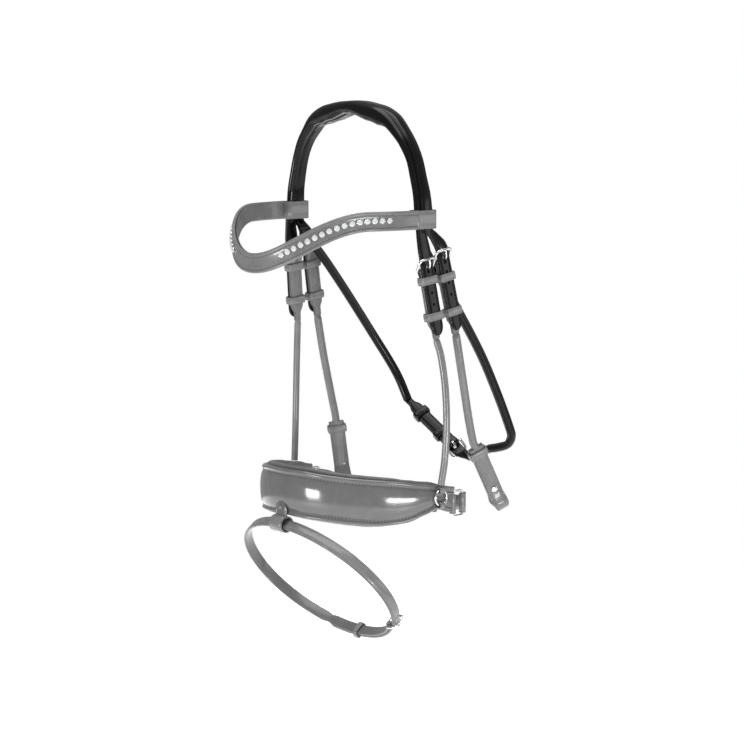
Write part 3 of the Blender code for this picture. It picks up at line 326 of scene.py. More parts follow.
def axes(place):
    """A placement's own directions: out of the leather, across it and up it."""
    return [place.to_3x3() @ axis for axis in (X_AXIS, Y_AXIS, Z_AXIS)]


def billet_place(kind, sign):
    """The placement of a buckle on a billet, with its origin level with the buckle's bar."""
    *_, bend, tip = mirrored(BILLETS[kind][0], sign)
    up = (bend - tip).normalized()
    return frame_of(tip + up * BAR_ALONG[kind], X_AXIS * sign, up)


def hinge_start(kind, sign):
    """Where a rolled strap begins: the centre of its first end, just past the chape."""
    below = BAR_ALONG[kind] + CHAPE_PAST_BAR + BILLETS[kind][1] + HINGE_GAP
    return billet_place(kind, sign) @ Vector((CHAPE_MIDDLE, 0, -below))


def crown_route():
    """Middle line of the crown, whose front and rear edges run apart over the poll."""
    half = [(x, 0.0, z) for x, z in CROWN_HALF]
    route = along([(-x, y, z) for x, y, z in reversed(half)] + half, CROWN_SEGMENTS)
    shares = [abs(t) for t in spaced(-1, 1, CROWN_SEGMENTS)]
    return [Vector((p.x, (graph(CROWN_FRONT, t) + graph(CROWN_REAR, t)) / 2, p.z))
            for p, t in zip(route, shares)]


def band_point(angle, outward=0.0):
    """A point of the browband's middle plane, by its angle round from the front, and its outward normal."""
    sin, cos = math.sin(angle), math.cos(angle)
    share = min(abs(angle) / BAND_DIP_SPAN, 1.0) ** BAND_DIP_POWER
    z = BAND_Z - BAND_DIP * 0.5 * (1 + math.cos(math.pi * share))
    normal = Vector((sin / BAND_HALF_WIDTH, -cos / BAND_REACH, 0.0)).normalized()
    return Vector((BAND_HALF_WIDTH * sin, BAND_START_Y - BAND_REACH * cos, z)) + normal * outward, normal


def band_height(angle):
    return BAND_HEIGHT_FRONT + (BAND_HEIGHT_END - BAND_HEIGHT_FRONT) * abs(angle) / BAND_END_ANGLE


def nose_point(angle, outward):
    """A point of the noseband in plan, by its angle round from the front."""
    sin, cos = math.sin(angle), math.cos(angle)
    normal = Vector((sin / NOSE_HALF_WIDTH, -cos / NOSE_DEPTH, 0.0)).normalized()
    return Vector((NOSE_HALF_WIDTH * sin, NOSE_MIDDLE_Y - NOSE_DEPTH * cos, 0.0)) + normal * outward


def nose_span(share, above, below):
    """Height of the noseband's middle, and its width, at a share of the way from the front to an end."""
    drop = NOSE_FAR_DROP * max(-share, 0.0)
    top = graph(NOSE_TOP, abs(share)) - drop + above
    bottom = graph(NOSE_BOTTOM, abs(share)) - drop - below
    return (top + bottom) / 2, top - bottom


def nose_route(end_angle, outward, above=0.0, below=0.0):
    """The line along the noseband's middle, with the width of the band at each point."""
    knots = [nose_span(share, above, below) for share in spaced(-1, 1, NOSE_KNOTS)]
    path = []
    wide = []
    for share in spaced(-1, 1, NOSE_STEPS):
        at = (share + 1) / 2 * NOSE_KNOTS
        low = min(int(at), NOSE_KNOTS - 1)
        middle, width = (a + (b - a) * eased(at - low) for a, b in zip(knots[low], knots[low + 1]))
        point = nose_point(share * end_angle, outward)
        path.append(Vector((point.x, point.y, middle)))
        wide.append(width)
    for _ in range(3):
        heights = [p.z for p in path]
        widths = list(wide)
        for k in range(1, NOSE_STEPS):
            path[k].z = sum(heights[k - 1:k + 2]) / 3
            wide[k] = sum(widths[k - 1:k + 2]) / 3
    return path, wide


def crank_route(plan, side, sign):
    """A closing strap's route, from its loop down to the height of the buckle at the back."""
    start, end = LOOP_Z[side], CRANK_BAR[2]
    falls = [graph(CRANK_FALL, t) for t in spaced(0, 1, len(plan) - 1)]
    return [Vector((sign * x, y, start + (end - start) * fall)) for (x, y), fall in zip(plan, falls)]


def flash_point(degrees, outward=0.0):
    """A point on the flash hoop: 270 degrees is its front, under the noseband, and 0 its near side."""
    angle = math.radians(degrees)
    normal = X_AXIS * math.cos(angle) / FLASH_HALF_WIDTH + FLASH_SLOPE * math.sin(angle) / FLASH_DEPTH
    normal.normalize()
    point = FLASH_CENTRE + X_AXIS * FLASH_HALF_WIDTH * math.cos(angle)
    point += FLASH_SLOPE * FLASH_DEPTH * math.sin(angle)
    return point + normal * outward, normal


def flash_place(degrees):
    point, normal = flash_point(degrees)
    return frame_of(point, normal, point - flash_point(degrees + 1)[0])


def link(tree, source, target):
    tree.links.new(source, target)


def fill(node, values):
    """Sets a node's inputs, each by its name."""
    for name, value in values.items():
        node.inputs[name].default_value = value


def shader(name):
    """A new material with its tree, its surface and the object's own coordinates."""
    made = bpy.data.materials.new(name)
    made.use_nodes = True
    tree = made.node_tree
    return made, tree, tree.nodes["Principled BSDF"], tree.nodes.new("ShaderNodeTexCoord").outputs["Object"]


def mixed(tree, factor, first, second):
    """A colour that goes from the first to the second by the factor."""
    mix = tree.nodes.new("ShaderNodeMix")
    mix.data_type = "RGBA"
    link(tree, factor, mix.inputs[0])
    for socket, value in ((mix.inputs[6], first), (mix.inputs[7], second)):
        if isinstance(value, tuple):
            socket.default_value = (*value, 1.0)
        else:
            link(tree, value, socket)
    return mix.outputs[2]


def noise(tree, where, scale, detail, kind="Noise"):
    made = tree.nodes.new(f"ShaderNodeTex{kind}")
    fill(made, {"Scale": scale, "Detail": detail})
    link(tree, where, made.inputs["Vector"])
    return made.outputs["Fac" if kind == "Noise" else "Distance"]


def spread(tree, value, to_low, to_high, low=0.3, high=0.7):
    """Stretches the part of a value between low and high to a new range."""
    made = tree.nodes.new("ShaderNodeMapRange")
    fill(made, {"From Min": low, "From Max": high, "To Min": to_low, "To Max": to_high})
    link(tree, value, made.inputs["Value"])
    return made.outputs["Result"]


def bumped(tree, surface, height, strength, distance):
    bump = tree.nodes.new("ShaderNodeBump")
    fill(bump, {"Strength": strength, "Distance": distance})
    link(tree, height, bump.inputs["Height"])
    link(tree, bump.outputs["Normal"], surface.inputs["Normal"])


def leather(name, colour, worn, cut_edge, roughness, coat, grain, specular):
    """Leather: cloudy colour, fine pebbled grain with creases, rubbed places, and a darker cut edge."""
    made, tree, surface, where = shader(name)
    clouds = noise(tree, where, 38.0, 4.0)
    rubbed = spread(tree, noise(tree, where, 110.0, 5.0), 0.0, 0.55, 0.52, 0.72)
    tone = mixed(tree, spread(tree, clouds, 0.0, 1.0), tuple(c * 0.86 for c in colour), colour)
    tone = mixed(tree, rubbed, tone, worn)
    edge = tree.nodes.new("ShaderNodeAttribute")
    edge.attribute_name = "edge"
    link(tree, mixed(tree, edge.outputs["Fac"], tone, cut_edge), surface.inputs["Base Color"])
    height = tree.nodes.new("ShaderNodeMath")
    height.operation = "MULTIPLY_ADD"
    height.inputs[1].default_value = 0.6
    link(tree, noise(tree, where, 1500.0, 0.0, "Voronoi"), height.inputs[0])
    link(tree, noise(tree, where, 420.0, 6.0), height.inputs[2])
    bumped(tree, surface, height.outputs[0], grain, 0.0004)
    link(tree, spread(tree, clouds, roughness - 0.05, roughness + 0.07), surface.inputs["Roughness"])
    fill(surface, {"Coat Weight": coat, "Coat Roughness": 0.12, "Specular IOR Level": specular})
    return made


def metal(name):
    """Polished steel with faint smears and hairlines."""
    made, tree, surface, where = shader(name)
    smears = noise(tree, where, 160.0, 4.0)
    link(tree, mixed(tree, smears, (0.66, 0.67, 0.69), (0.84, 0.85, 0.86)), surface.inputs["Base Color"])
    link(tree, spread(tree, smears, 0.09, 0.24), surface.inputs["Roughness"])
    fill(surface, {"Metallic": 1.0})
    bumped(tree, surface, noise(tree, where, 900.0, 5.0), 0.06, 0.0002)
    return made


def crystal(name):
    """Clear cut glass, a little cloudy so that each stone differs."""
    made, tree, surface, where = shader(name)
    cloud = noise(tree, where, 260.0, 2.0)
    link(tree, mixed(tree, cloud, (0.86, 0.88, 0.91), (1.0, 1.0, 1.0)), surface.inputs["Base Color"])
    link(tree, spread(tree, cloud, 0.02, 0.07), surface.inputs["Roughness"])
    fill(surface, {"Transmission Weight": 0.35, "IOR": 1.7})
    return made


def thread(name, light, dark):
    """Waxed thread, twisted."""
    made, tree, surface, where = shader(name)
    twist = noise(tree, where, 2600.0, 2.0)
    link(tree, mixed(tree, twist, dark, light), surface.inputs["Base Color"])
    link(tree, spread(tree, twist, 0.60, 0.80), surface.inputs["Roughness"])
    bumped(tree, surface, twist, 0.4, 0.0002)
    return made


# Colour, worn colour and cut edge's colour, then roughness, coat, grain and specular level
LEATHERS = {
    "black_leather": ((0.0045, 0.0043, 0.0043), (0.009, 0.009, 0.008),
                      (0.003, 0.003, 0.003), 0.22, 0.28, 0.10, 0.12),
    "black_padding": ((0.0045, 0.0043, 0.0042), (0.008, 0.008, 0.008),
                      (0.003, 0.003, 0.003), 0.22, 0.28, 0.12, 0.12),
    "grey_leather": ((0.196, 0.196, 0.197), (0.225, 0.225, 0.225),
                     (0.12, 0.12, 0.122), 0.27, 0.45, 0.16, 0.35),
    "patent_leather": ((0.143, 0.143, 0.144), (0.165, 0.165, 0.165),
                       (0.105, 0.105, 0.107), 0.14, 0.9, 0.05, 0.35),
    "grey_padding": ((0.150, 0.150, 0.152), (0.20, 0.20, 0.20), (0.11, 0.11, 0.11), 0.36, 0.15, 0.42, 0.35),
}
LOOKS = {name: leather(name, *values) for name, values in LEATHERS.items()}
LOOKS["chrome"] = metal("chrome")
LOOKS["crystal"] = crystal("crystal")
LOOKS["grey_thread"] = thread("grey_thread", (0.36, 0.36, 0.36), (0.21, 0.21, 0.21))
LOOKS["black_thread"] = thread("black_thread", (0.016, 0.016, 0.016), (0.006, 0.006, 0.006))


def thread_of(look):
    return look.split("_")[0] + "_thread"


def finish(obj, look, body, replaced=(), angle=38, blend=None):
    """Gives a piece its material and its shading, hangs it on its body unless it has blend, and hides the
    frame pieces that it stands for.

    A piece that crosses a hinge has blend: both bodies, and the points where a bend would start and end.
    These are not used, only whether blend is given: such a piece is fixed where it stands, hangs on no body
    and does not bend.
    """
    obj.data.materials.clear()
    obj.data.materials.append(LOOKS[look])
    obj.data.shade_smooth()
    obj.data.set_sharp_from_angle(angle=math.radians(angle))
    if blend:
        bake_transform(obj)
    else:
        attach(obj, body)
    if replaced:
        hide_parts(*replaced)
    return obj


def added(name, data):
    obj = bpy.data.objects.new(name, data)
    bpy.context.scene.collection.objects.link(obj)
    return obj


def solid(name, verts, faces, tags=None):
    """A closed mesh with its faces turned outward. The tags say how much each point is a cut edge."""
    data = bpy.data.meshes.new(name)
    data.from_pydata([tuple(v) for v in verts], [], faces)
    if tags:
        data.attributes.new("edge", "FLOAT", "POINT").data.foreach_set("value", tags)
    bm = bmesh.new()
    bm.from_mesh(data)
    if bm.calc_volume(signed=True) < 0:
        bmesh.ops.reverse_faces(bm, faces=bm.faces)
    bm.to_mesh(data)
    bm.free()
    return added(name, data)


def ring_faces(rings, size, closed, first=0):
    """The quads of a lofted wall, with a cap at each end unless it closes on itself."""
    faces = []
    for i in range(rings if closed else rings - 1):
        low, high = first + i * size, first + (i + 1) % rings * size
        for k in range(size):
            m = (k + 1) % size
            faces.append((low + k, low + m, high + m, high + k))
    if not closed:
        faces.append(tuple(first + k for k in reversed(range(size))))
        faces.append(tuple(first + (rings - 1) * size + k for k in range(size)))
    return faces


def axes_of(path, hint, facing, closed=False, at=0):
    """At each point of a route: the direction across it and the direction out of its face.

    The hint gives the way across, and the face is the side that looks the facing way at one point.
    """
    ends = [path[-1], *path, path[0]] if closed else [path[0], *path, path[-1]]
    runs = [(q - p).normalized() for p, q in zip(ends, ends[2:])]
    across = [(hint - hint.dot(t) * t).normalized() for t in runs]
    out = [t.cross(a) for t, a in zip(runs, across)]
    if out[at].dot(facing) < 0:
        out = [-n for n in out]
    return across, out


def sweep(name, path, hint, facing, section, closed=False, at=0):
    """Lofts a section along a route. It is a list of (across, out, edge), or gives one for each point."""
    across, out = axes_of(path, hint, facing, closed, at)
    verts = []
    tags = []
    for i, point in enumerate(path):
        for u, v, tag in section(i) if callable(section) else section:
            verts.append(point + across[i] * u + out[i] * v)
            tags.append(tag)
    return solid(name, verts, ring_faces(len(path), len(verts) // len(path), closed), tags)


def flat_section(width, thick, round_edge=0.8 * MM, crease=1.7 * MM, depth=0.28 * MM, dome=0.0):
    """A cut strap: rounded edges, and a creased line along each side of its outer face."""
    half, t = width / 2, thick / 2
    r = min(round_edge, t * 0.96, half * 0.45)
    flat = half - r
    mark = min(crease - r, flat * 0.35)
    slope = min(0.45 * MM, mark * 0.6)
    marks = ((flat - mark + slope, 0.0), (flat - mark, depth), (flat - mark - slope, 0.0), (flat * 0.25, 0.0),
             (0.0, 0.0))
    face = [(u, t - sunk + dome * (1 - (u / flat) ** 2), 0.0) for u, sunk in marks]
    face += [(-u, v, tag) for u, v, tag in reversed(face[:-1])]
    right = arc(half - r, r - t, r, -90, 0, 3, 0.8) + arc(half - r, t - r, r, 0, 90, 3, 0.8)
    left = arc(r - half, t - r, r, 90, 180, 3, 0.8) + arc(r - half, r - t, r, 180, 270, 3, 0.8)
    return right + face + left


def rolled_edge_section(width, thick, roll, dome):
    """A padded band: a fat rolled edge above and below, a sewn groove beside each, and a domed face."""
    t = thick / 2
    inner = width / 2 - roll * 2.3
    top = arc(width / 2 - roll, 0.0, roll, -80, 100, 8)
    top += [(inner + roll * 0.35, t - 0.5 * MM, 0.5), (inner + roll * 0.12, t - 0.75 * MM, 0.7),
            (inner - roll * 0.12, t - 0.45 * MM, 0.2)]
    top += [(inner * share, t + dome * (1 - share**2.6), 0.0) for share in spaced(1, 0, 8)[1:]]
    return top + [(-u, v, tag) for u, v, tag in reversed(top[:-1])]


def seamed_section(radius, sides=24):
    """A rolled strap, with the sunk seam along its inner side."""
    made = []
    for angle in spaced(0, math.tau, sides)[:-1]:
        off = math.atan2(math.cos(angle), -math.sin(angle))
        sunk = 0.13 * math.exp(-(off / 0.20) ** 2)
        reach = radius * (1 - sunk)
        made.append((reach * math.cos(angle), reach * math.sin(angle), min(sunk * 5, 0.6)))
    return made


def wire_section(radius, sides=14):
    return arc(0.0, 0.0, radius, 0, 360, sides)[:-1]


def pad_section(width, thick, sides=24):
    """A stuffed pad, full in the middle and drawn in to a seam at each side."""
    made = []
    for k in range(sides):
        angle = math.tau * (k + 0.5) / sides
        c, s = math.cos(angle), math.sin(angle)
        made.append((width / 2 * math.copysign(abs(c) ** 0.55, c),
                     thick / 2 * math.copysign(abs(s) ** 0.62, s), 0.0))
    return made


def stitches(name, look, body, rows, pitch=3.4 * MM, length=2.4 * MM, radius=0.33 * MM):
    """Rows of sewn thread. A row is a route of points with the way out of the leather at each."""
    verts = []
    faces = []
    for points, outs in rows:
        for place in pitched(points, pitch)[1:-1]:
            middle = between(points, place)
            out = between(outs, place).normalized()
            run = (points[place[0] + 1] - points[place[0]]).normalized()
            side = run.cross(out).normalized()
            faces += ring_faces(len(STITCH), 6, False, len(verts))
            for s, fat, rise in STITCH:
                verts += circle(middle + run * s * length + out * rise * radius, side, out, radius * fat, 6)
    finish(solid(name, verts, faces), look, body, angle=80)


def side_rows(path, hint, facing, widths, inset, height, at=0, trim=(0, 0)):
    """Two rows of sewing along a strap, one inside each edge."""
    across, out = axes_of(path, hint, facing, at=at)
    kept = slice(trim[0], len(path) - trim[1])
    rows = []
    for sign in (1, -1):
        points = [p + a * sign * max(w / 2 - inset, 0.0) + n * height
                  for p, a, n, w in zip(path, across, out, widths)]
        rows.append((points[kept], out[kept]))
    return rows


def cut(obj, cutter):
    """Takes the cutter's shape out of a piece."""
    step = obj.modifiers.new("cut", "BOOLEAN")
    step.operation = "DIFFERENCE"
    step.object = cutter
    step.solver = "EXACT"
    bpy.context.view_layer.update()
    data = bpy.data.meshes.new_from_object(obj.evaluated_get(bpy.context.evaluated_depsgraph_get()))
    obj.modifiers.clear()
    obj.data = data
    bpy.data.objects.remove(cutter, do_unlink=True)


def holes(place, steps, length):
    """Round cutters as one mesh, so many hole pitches above or below a buckle's bar."""
    bm = bmesh.new()
    for step in steps:
        at = place @ Matrix.Translation((0, 0, step * HOLE_PITCH + 1.2 * MM))
        bmesh.ops.create_cone(bm, cap_ends=True, segments=16, radius1=HOLE_RADIUS, radius2=HOLE_RADIUS,
                              depth=length, matrix=at @ Matrix.Rotation(math.radians(90), 4, "Y"))
    data = bpy.data.meshes.new("holes")
    bm.to_mesh(data)
    bm.free()
    return added("holes", data)


def block(place, low, high):
    corners = [place @ Vector(corner) for corner in itertools.product(*zip(low, high))]
    walls = [(0, 1, 3, 2), (4, 6, 7, 5), (0, 4, 5, 1), (2, 3, 7, 6), (0, 2, 6, 4), (1, 5, 7, 3)]
    return solid("block", corners, walls)


def punch(obj, place, steps, behind=4 * MM, length=8 * MM):
    """Cuts a strap's round holes and the slot that its buckle's pin goes through."""
    if steps:
        cut(obj, holes(place, steps, length))
    wide, tall = TONGUE_SLOT
    cut(obj, block(place, (-behind, -wide / 2, -2.6 * MM), (4 * MM, wide / 2, tall - 2.6 * MM)))


def notch(obj, place):
    """Cuts the gap for a buckle's pin into the fold round its bar."""
    cut(obj, block(place, (BAR_X - 6 * MM, -1.8 * MM, -3.4 * MM), (BAR_X + 6 * MM, 1.8 * MM, 6 * MM)))


def buckle_frame(name, place, width, body):
    """A buckle of round wire: a straight bar below, bowed shoulders above."""
    half = width / 2 + SIDE_GAP + WIRE_RADIUS
    low, high = 2.6 * MM, 4.2 * MM
    flat = arc(BUCKLE_HEIGHT - high, half - high, high, 0, 90, 7)
    flat += arc(low, half - low, low, 90, 180, 5)
    flat += arc(low, low - half, low, 180, 270, 5)
    flat += arc(BUCKLE_HEIGHT - high, high - half, high, 270, 360, 7)
    path = [place @ Vector((BAR_X + u * math.sin(LEAN), v, u * math.cos(LEAN))) for u, v, _ in flat]
    normal = place.to_3x3() @ Vector((math.cos(LEAN), 0, -math.sin(LEAN)))
    obj = sweep(name, path, normal, normal, wire_section(WIRE_RADIUS), True)
    finish(obj, "chrome", body, [name.replace("_wire", "_frame")])


def tongue(name, place, body):
    """A buckle's pin: a wrapped end on the bar and a round pin with a domed tip."""
    out, side, up = axes(place)
    top = FRAME_TOP_X + WIRE_RADIUS + TONGUE_RADIUS + LAYER_GAP
    tip = BUCKLE_HEIGHT * math.cos(LEAN) + WIRE_RADIUS
    knots = ((BAR_X - 0.4 * MM, 1.9 * MM), (CHAPE_OUT - 1.2 * MM, 1.6 * MM), (CHAPE_OUT + 0.6 * MM, 1.7 * MM),
             (3.0 * MM, 2.6 * MM), (top - 0.4 * MM, 5.6 * MM), (top, tip - 3.0 * MM), (top - 0.2 * MM, tip))
    path = [place @ p for p in along([(x, 0, z) for x, z in knots], 26)]
    fat = [1.0] * (len(path) - 3) + [0.92, 0.72, 0.30]
    pin = sweep(name, path, side, out, lambda i: wire_section(TONGUE_RADIUS * fat[i], 12))
    finish(pin, "chrome", body, [name.replace("_pin", "_tongue")])
    wrap = circle(place @ Vector((BAR_X, 0, 0)), out, up, 2.3 * MM, 20)
    section = flat_section(2.5 * MM, 1.1 * MM, 0.5 * MM, depth=0.0)
    finish(sweep(f"{name}_wrap", wrap, side, out, section, True), "chrome", body)


def keeper(name, place, at, body, look="grey_leather", width=BILLET_WIDTH, inner=CHAPE_IN,
           outer=STRAP_THICK / 2, height=KEEPER_HEIGHT):
    """A leather ring round a billet, creased along both edges."""
    out, _, up = axes(place)
    wall = KEEPER_GAP + KEEPER_WALL / 2
    loop = rounded_box(inner - wall, outer + wall, -width / 2 - wall, width / 2 + wall, 1.5 * MM, 5)
    path = [place @ Vector((x, y, at)) for x, y in loop]
    section = flat_section(height, KEEPER_WALL, 0.6 * MM, 1.3 * MM, 0.2 * MM, 0.25 * MM)
    finish(sweep(f"{name}_ring", path, up, out, section, True), look, body, [name])


def chape(name, place, length, end_radius, body, look="grey_leather", width=CHAPE_WIDTH, replaced=True):
    """A strap end folded round a buckle's bar: two sewn layers that narrow to the rolled strap below."""
    out, side, _ = axes(place)
    layer = CHAPE_THICK / 4 - 0.05 * MM
    low = 2 * MM - length
    levels = [-length, *spaced(low, -7 * MM, 26)]
    line = [(CHAPE_OUT - layer, z) for z in levels]
    line += [(x, z) for x, z, _ in arc(BAR_X, 0.0, 2.42 * MM, -20, 200, 14)]
    line += [(CHAPE_IN + layer, z) for z in reversed(levels)]
    path = [place @ Vector((x, 0, z)) for x, z in line]
    narrowing = ((0.0, 1.0), (0.25, 0.93), (0.5, 0.70), (0.75, 0.52), (1.0, 2 * end_radius / width))
    taper = length - 20 * MM
    widths = [max(width * graph(narrowing, eased((-z - taper) / (16 * MM))), 2 * end_radius) for _, z in line]
    thick = [1.3 * MM if abs(k - len(line) / 2) < 8 else layer * 2 for k in range(len(line))]
    obj = sweep(f"{name}_fold", path, side, out, lambda i: flat_section(widths[i], thick[i]), at=2)
    notch(obj, place)
    finish(obj, look, body, [name] if replaced else [])
    count = len(levels)
    rows = side_rows(path[:count], side, out, widths[:count], 1.7 * MM, layer, trim=(2, 1))
    rows += side_rows(path[-count:], side, -out, widths[-count:], 1.7 * MM, layer, trim=(1, 2))
    stitches(f"{name}_sewing", thread_of(look), body, rows)


def tipped(route, last, end=11 * MM):
    """A straight last stretch with stations that crowd towards its tip."""
    start = route[-1]
    span = (last - start).length
    shares = spaced(0, (span - end) / span, max(int((span - end) / (3 * MM)), 1))[1:]
    shares += [1 - end / span * (1 - s) for s in (0.2, 0.4, 0.55, 0.7, 0.8, 0.88, 0.94, 0.975, 0.993, 1.0)]
    return route + [start.lerp(last, share) for share in shares]


def pointed_widths(path, width, root, length=11 * MM):
    """Widths that grow from the root and round off into a tip."""
    low, high = ROOT_LENGTH
    widths = []
    for point in path:
        grown = min(max(((point - path[0]).length - low) / (high - low), 0.0), 1.0)
        share = min((path[-1] - point).length / length, 1.0)
        widths.append((root + (width - root) * grown) * max(0.10, math.sqrt(1 - (1 - share) ** 2)))
    return widths


def padding_section(front, rear, setback, share):
    """The crown's padding: a roll along its front edge and a cushion behind it, below the strap."""
    thick = CROWN_PAD_THICK * graph(CROWN_PAD_SHARE, share)
    top, bottom = -CROWN_THICK / 2 - 0.15 * MM, -CROWN_THICK / 2 - LAYER_GAP - thick
    tall = CROWN_THICK + 0.3 * MM + thick
    middle = CROWN_THICK / 2 + 0.2 * MM - tall / 2
    reach = min(setback - 0.5 * MM, tall * 0.8)
    points = []
    for c, s, _ in arc(0.0, 0.0, 1.0, 100, 300, 12):
        points.append((front + reach + reach * (c if c < 0 else 0.9 * c), middle + tall / 2 * s))
    for q in (0.45, 0.62, 0.78, 0.9):
        points.append((front + (rear - front) * q, bottom - 0.08 * MM * math.sin(math.pi * q)))
    edge = min(thick / 2, 4.2 * MM)
    for c, s, _ in arc(0.0, 0.0, 1.0, -80, 80, 5):
        points.append((rear - 0.8 * MM - edge + edge * c, (top + bottom) / 2 + thick / 2 * s))
    points.append((front + setback + 0.5 * MM, top))
    return [(u - (front + rear) / 2, v, 0.0) for u, v in points]


def make_crown():
    """The headpiece: strap, padding, the two billets and the throatlatch's stub on each side."""
    middle = crown_route()
    path = [between(middle, place) for place in pitched(middle, 3 * MM)]
    path = along(path[::6] + [path[-1]], len(path))
    share = [abs(t) for t in spaced(-1, 1, len(path) - 1)]
    front, rear, setback = ([graph(table, t) for t in share]
                            for table in (CROWN_FRONT, CROWN_REAR, CROWN_SETBACK))
    top = [Vector((p.x, (f + s + r) / 2, p.z)) for p, f, s, r in zip(path, front, setback, rear)]
    wide = [r - f - s for f, s, r in zip(front, setback, rear)]
    at = len(path) // 2
    obj = sweep("crown_top", top, Y_AXIS, Z_AXIS,
                lambda i: flat_section(wide[i], CROWN_THICK, 1.4 * MM, 2.2 * MM, 0.3 * MM, 0.5 * MM), at=at)
    finish(obj, "black_leather", "crown", ["crown_strap"])
    rows = side_rows(top, Y_AXIS, Z_AXIS, wide, 2.2 * MM, CROWN_THICK / 2 - 0.32 * MM, at, (3, 3))
    stitches("crown_sewing", "black_thread", "crown", rows, 4.0 * MM, 3.0 * MM, 0.28 * MM)
    sizes = list(zip(front, rear, setback, share))[2:-2]
    obj = sweep("crown_pad", path[2:-2], Y_AXIS, Z_AXIS, lambda i: padding_section(*sizes[i]), at=at - 2)
    finish(obj, "black_padding", "crown", ["crown_padding"], 60)
    for side, sign in SIDES:
        for kind in BILLETS:
            make_billet(side, sign, kind)
        route = along(mirrored(THROAT_STUB, sign), 10)
        stub = sweep(f"{side}_throat_stub", route, Y_AXIS, X_AXIS * sign, flat_section(11 * MM, 4.4 * MM))
        finish(stub, "black_leather", "crown")


def make_billet(side, sign, kind):
    """A creased strap with punched holes and a pointed end, that goes down through a buckle."""
    points = mirrored(BILLETS[kind][0], sign)
    bend = [*points[:-1], points[-2].lerp(points[-1], 0.14)]
    path = tipped(along(bend, 5 * len(points)), points[-1])
    widths = pointed_widths(path, BILLET_WIDTH, BILLET_ROOT[kind])
    obj = sweep(f"{side}_{kind}_billet", path, Y_AXIS, X_AXIS * sign,
                lambda i: flat_section(widths[i], STRAP_THICK))
    punch(obj, billet_place(kind, sign), [k for k in range(-HOLES_BELOW, HOLES_ABOVE + 1) if k])
    finish(obj, "black_leather", "crown")
    rows = side_rows(path, Y_AXIS, X_AXIS * sign, widths, 1.7 * MM, SEWN_HEIGHT, trim=(6, 7))
    stitches(f"{side}_{kind}_billet_sewing", "black_thread", "crown", rows)


def make_stacks():
    """What holds each billet: chape, buckle, fixed keeper and runner."""
    for (side, sign), (kind, (_, radius)) in itertools.product(SIDES, BILLETS.items()):
        place = billet_place(kind, sign)
        stack = f"{side}_{kind}"
        chape(f"{stack}_chape", place, BAR_ALONG[kind] + CHAPE_PAST_BAR, radius, "crown")
        buckle_frame(f"{stack}_buckle_wire", place, BILLET_WIDTH, "crown")
        tongue(f"{stack}_pin", place, f"{stack}_tongue")
        keeper(f"{stack}_keeper", place, -KEEPER_DROP[kind], "crown")
        keeper(f"{stack}_runner", place, RUNNER_ALONG - BAR_ALONG[kind], f"{stack}_runner")


def make_browband():
    count = 130
    angles = spaced(-BAND_END_ANGLE, BAND_END_ANGLE, count)
    path = [band_point(a)[0] for a in angles]
    tall = [band_height(a) for a in angles]
    at = count // 2
    obj = sweep("browband_face", path, Z_AXIS, -Y_AXIS,
                lambda i: rolled_edge_section(tall[i], BAND_THICK, 1.9 * MM, -0.25 * MM), at=at)
    finish(obj, "grey_leather", "browband", ["browband_strap"])
    rows = side_rows(path, Z_AXIS, -Y_AXIS, tall, 4.1 * MM, BAND_THICK / 2 - 0.6 * MM, at, (3, 3))
    stitches("browband_sewing", "grey_thread", "browband", rows, 3.2 * MM, 2.2 * MM)
    half = SLEEVE_WALL / 2
    height = BAND_HEIGHT_END - 0.4 * MM
    (x0, x1), (y0, y1) = SLEEVE_X, SLEEVE_Y
    loop = rounded_box(x0 - half, x1 + half, y0 - half, y1 + half, 2.6 * MM, 6)
    for side, sign in SIDES:
        ring = mirrored([(x, y, BAND_Z) for x, y in loop], sign)
        section = flat_section(height, SLEEVE_WALL, 0.9 * MM, 1.9 * MM, 0.25 * MM)
        obj = sweep(f"{side}_browband_sleeve", ring, Z_AXIS, X_AXIS * sign, section, True)
        finish(obj, "grey_leather", "browband")
        ring.append(ring[0])
        rows = side_rows(ring, Z_AXIS, X_AXIS * sign, [height] * len(ring), 1.9 * MM, half - 0.05 * MM)
        stitches(f"{side}_sleeve_sewing", "grey_thread", "browband", rows, 3.2 * MM, 2.2 * MM)
    inner = -(BAND_THICK + BAND_LINING_THICK) / 2 - LAYER_GAP
    angles = spaced(-BAND_LINING_ANGLE, BAND_LINING_ANGLE, count)
    path = [band_point(a, inner)[0] for a in angles]
    obj = sweep("browband_pad", path, Z_AXIS, Y_AXIS,
                lambda i: pad_section(band_height(angles[i]) - 2 * MM, BAND_LINING_THICK), at=at)
    finish(obj, "grey_padding", "browband", ["browband_lining"], 70)


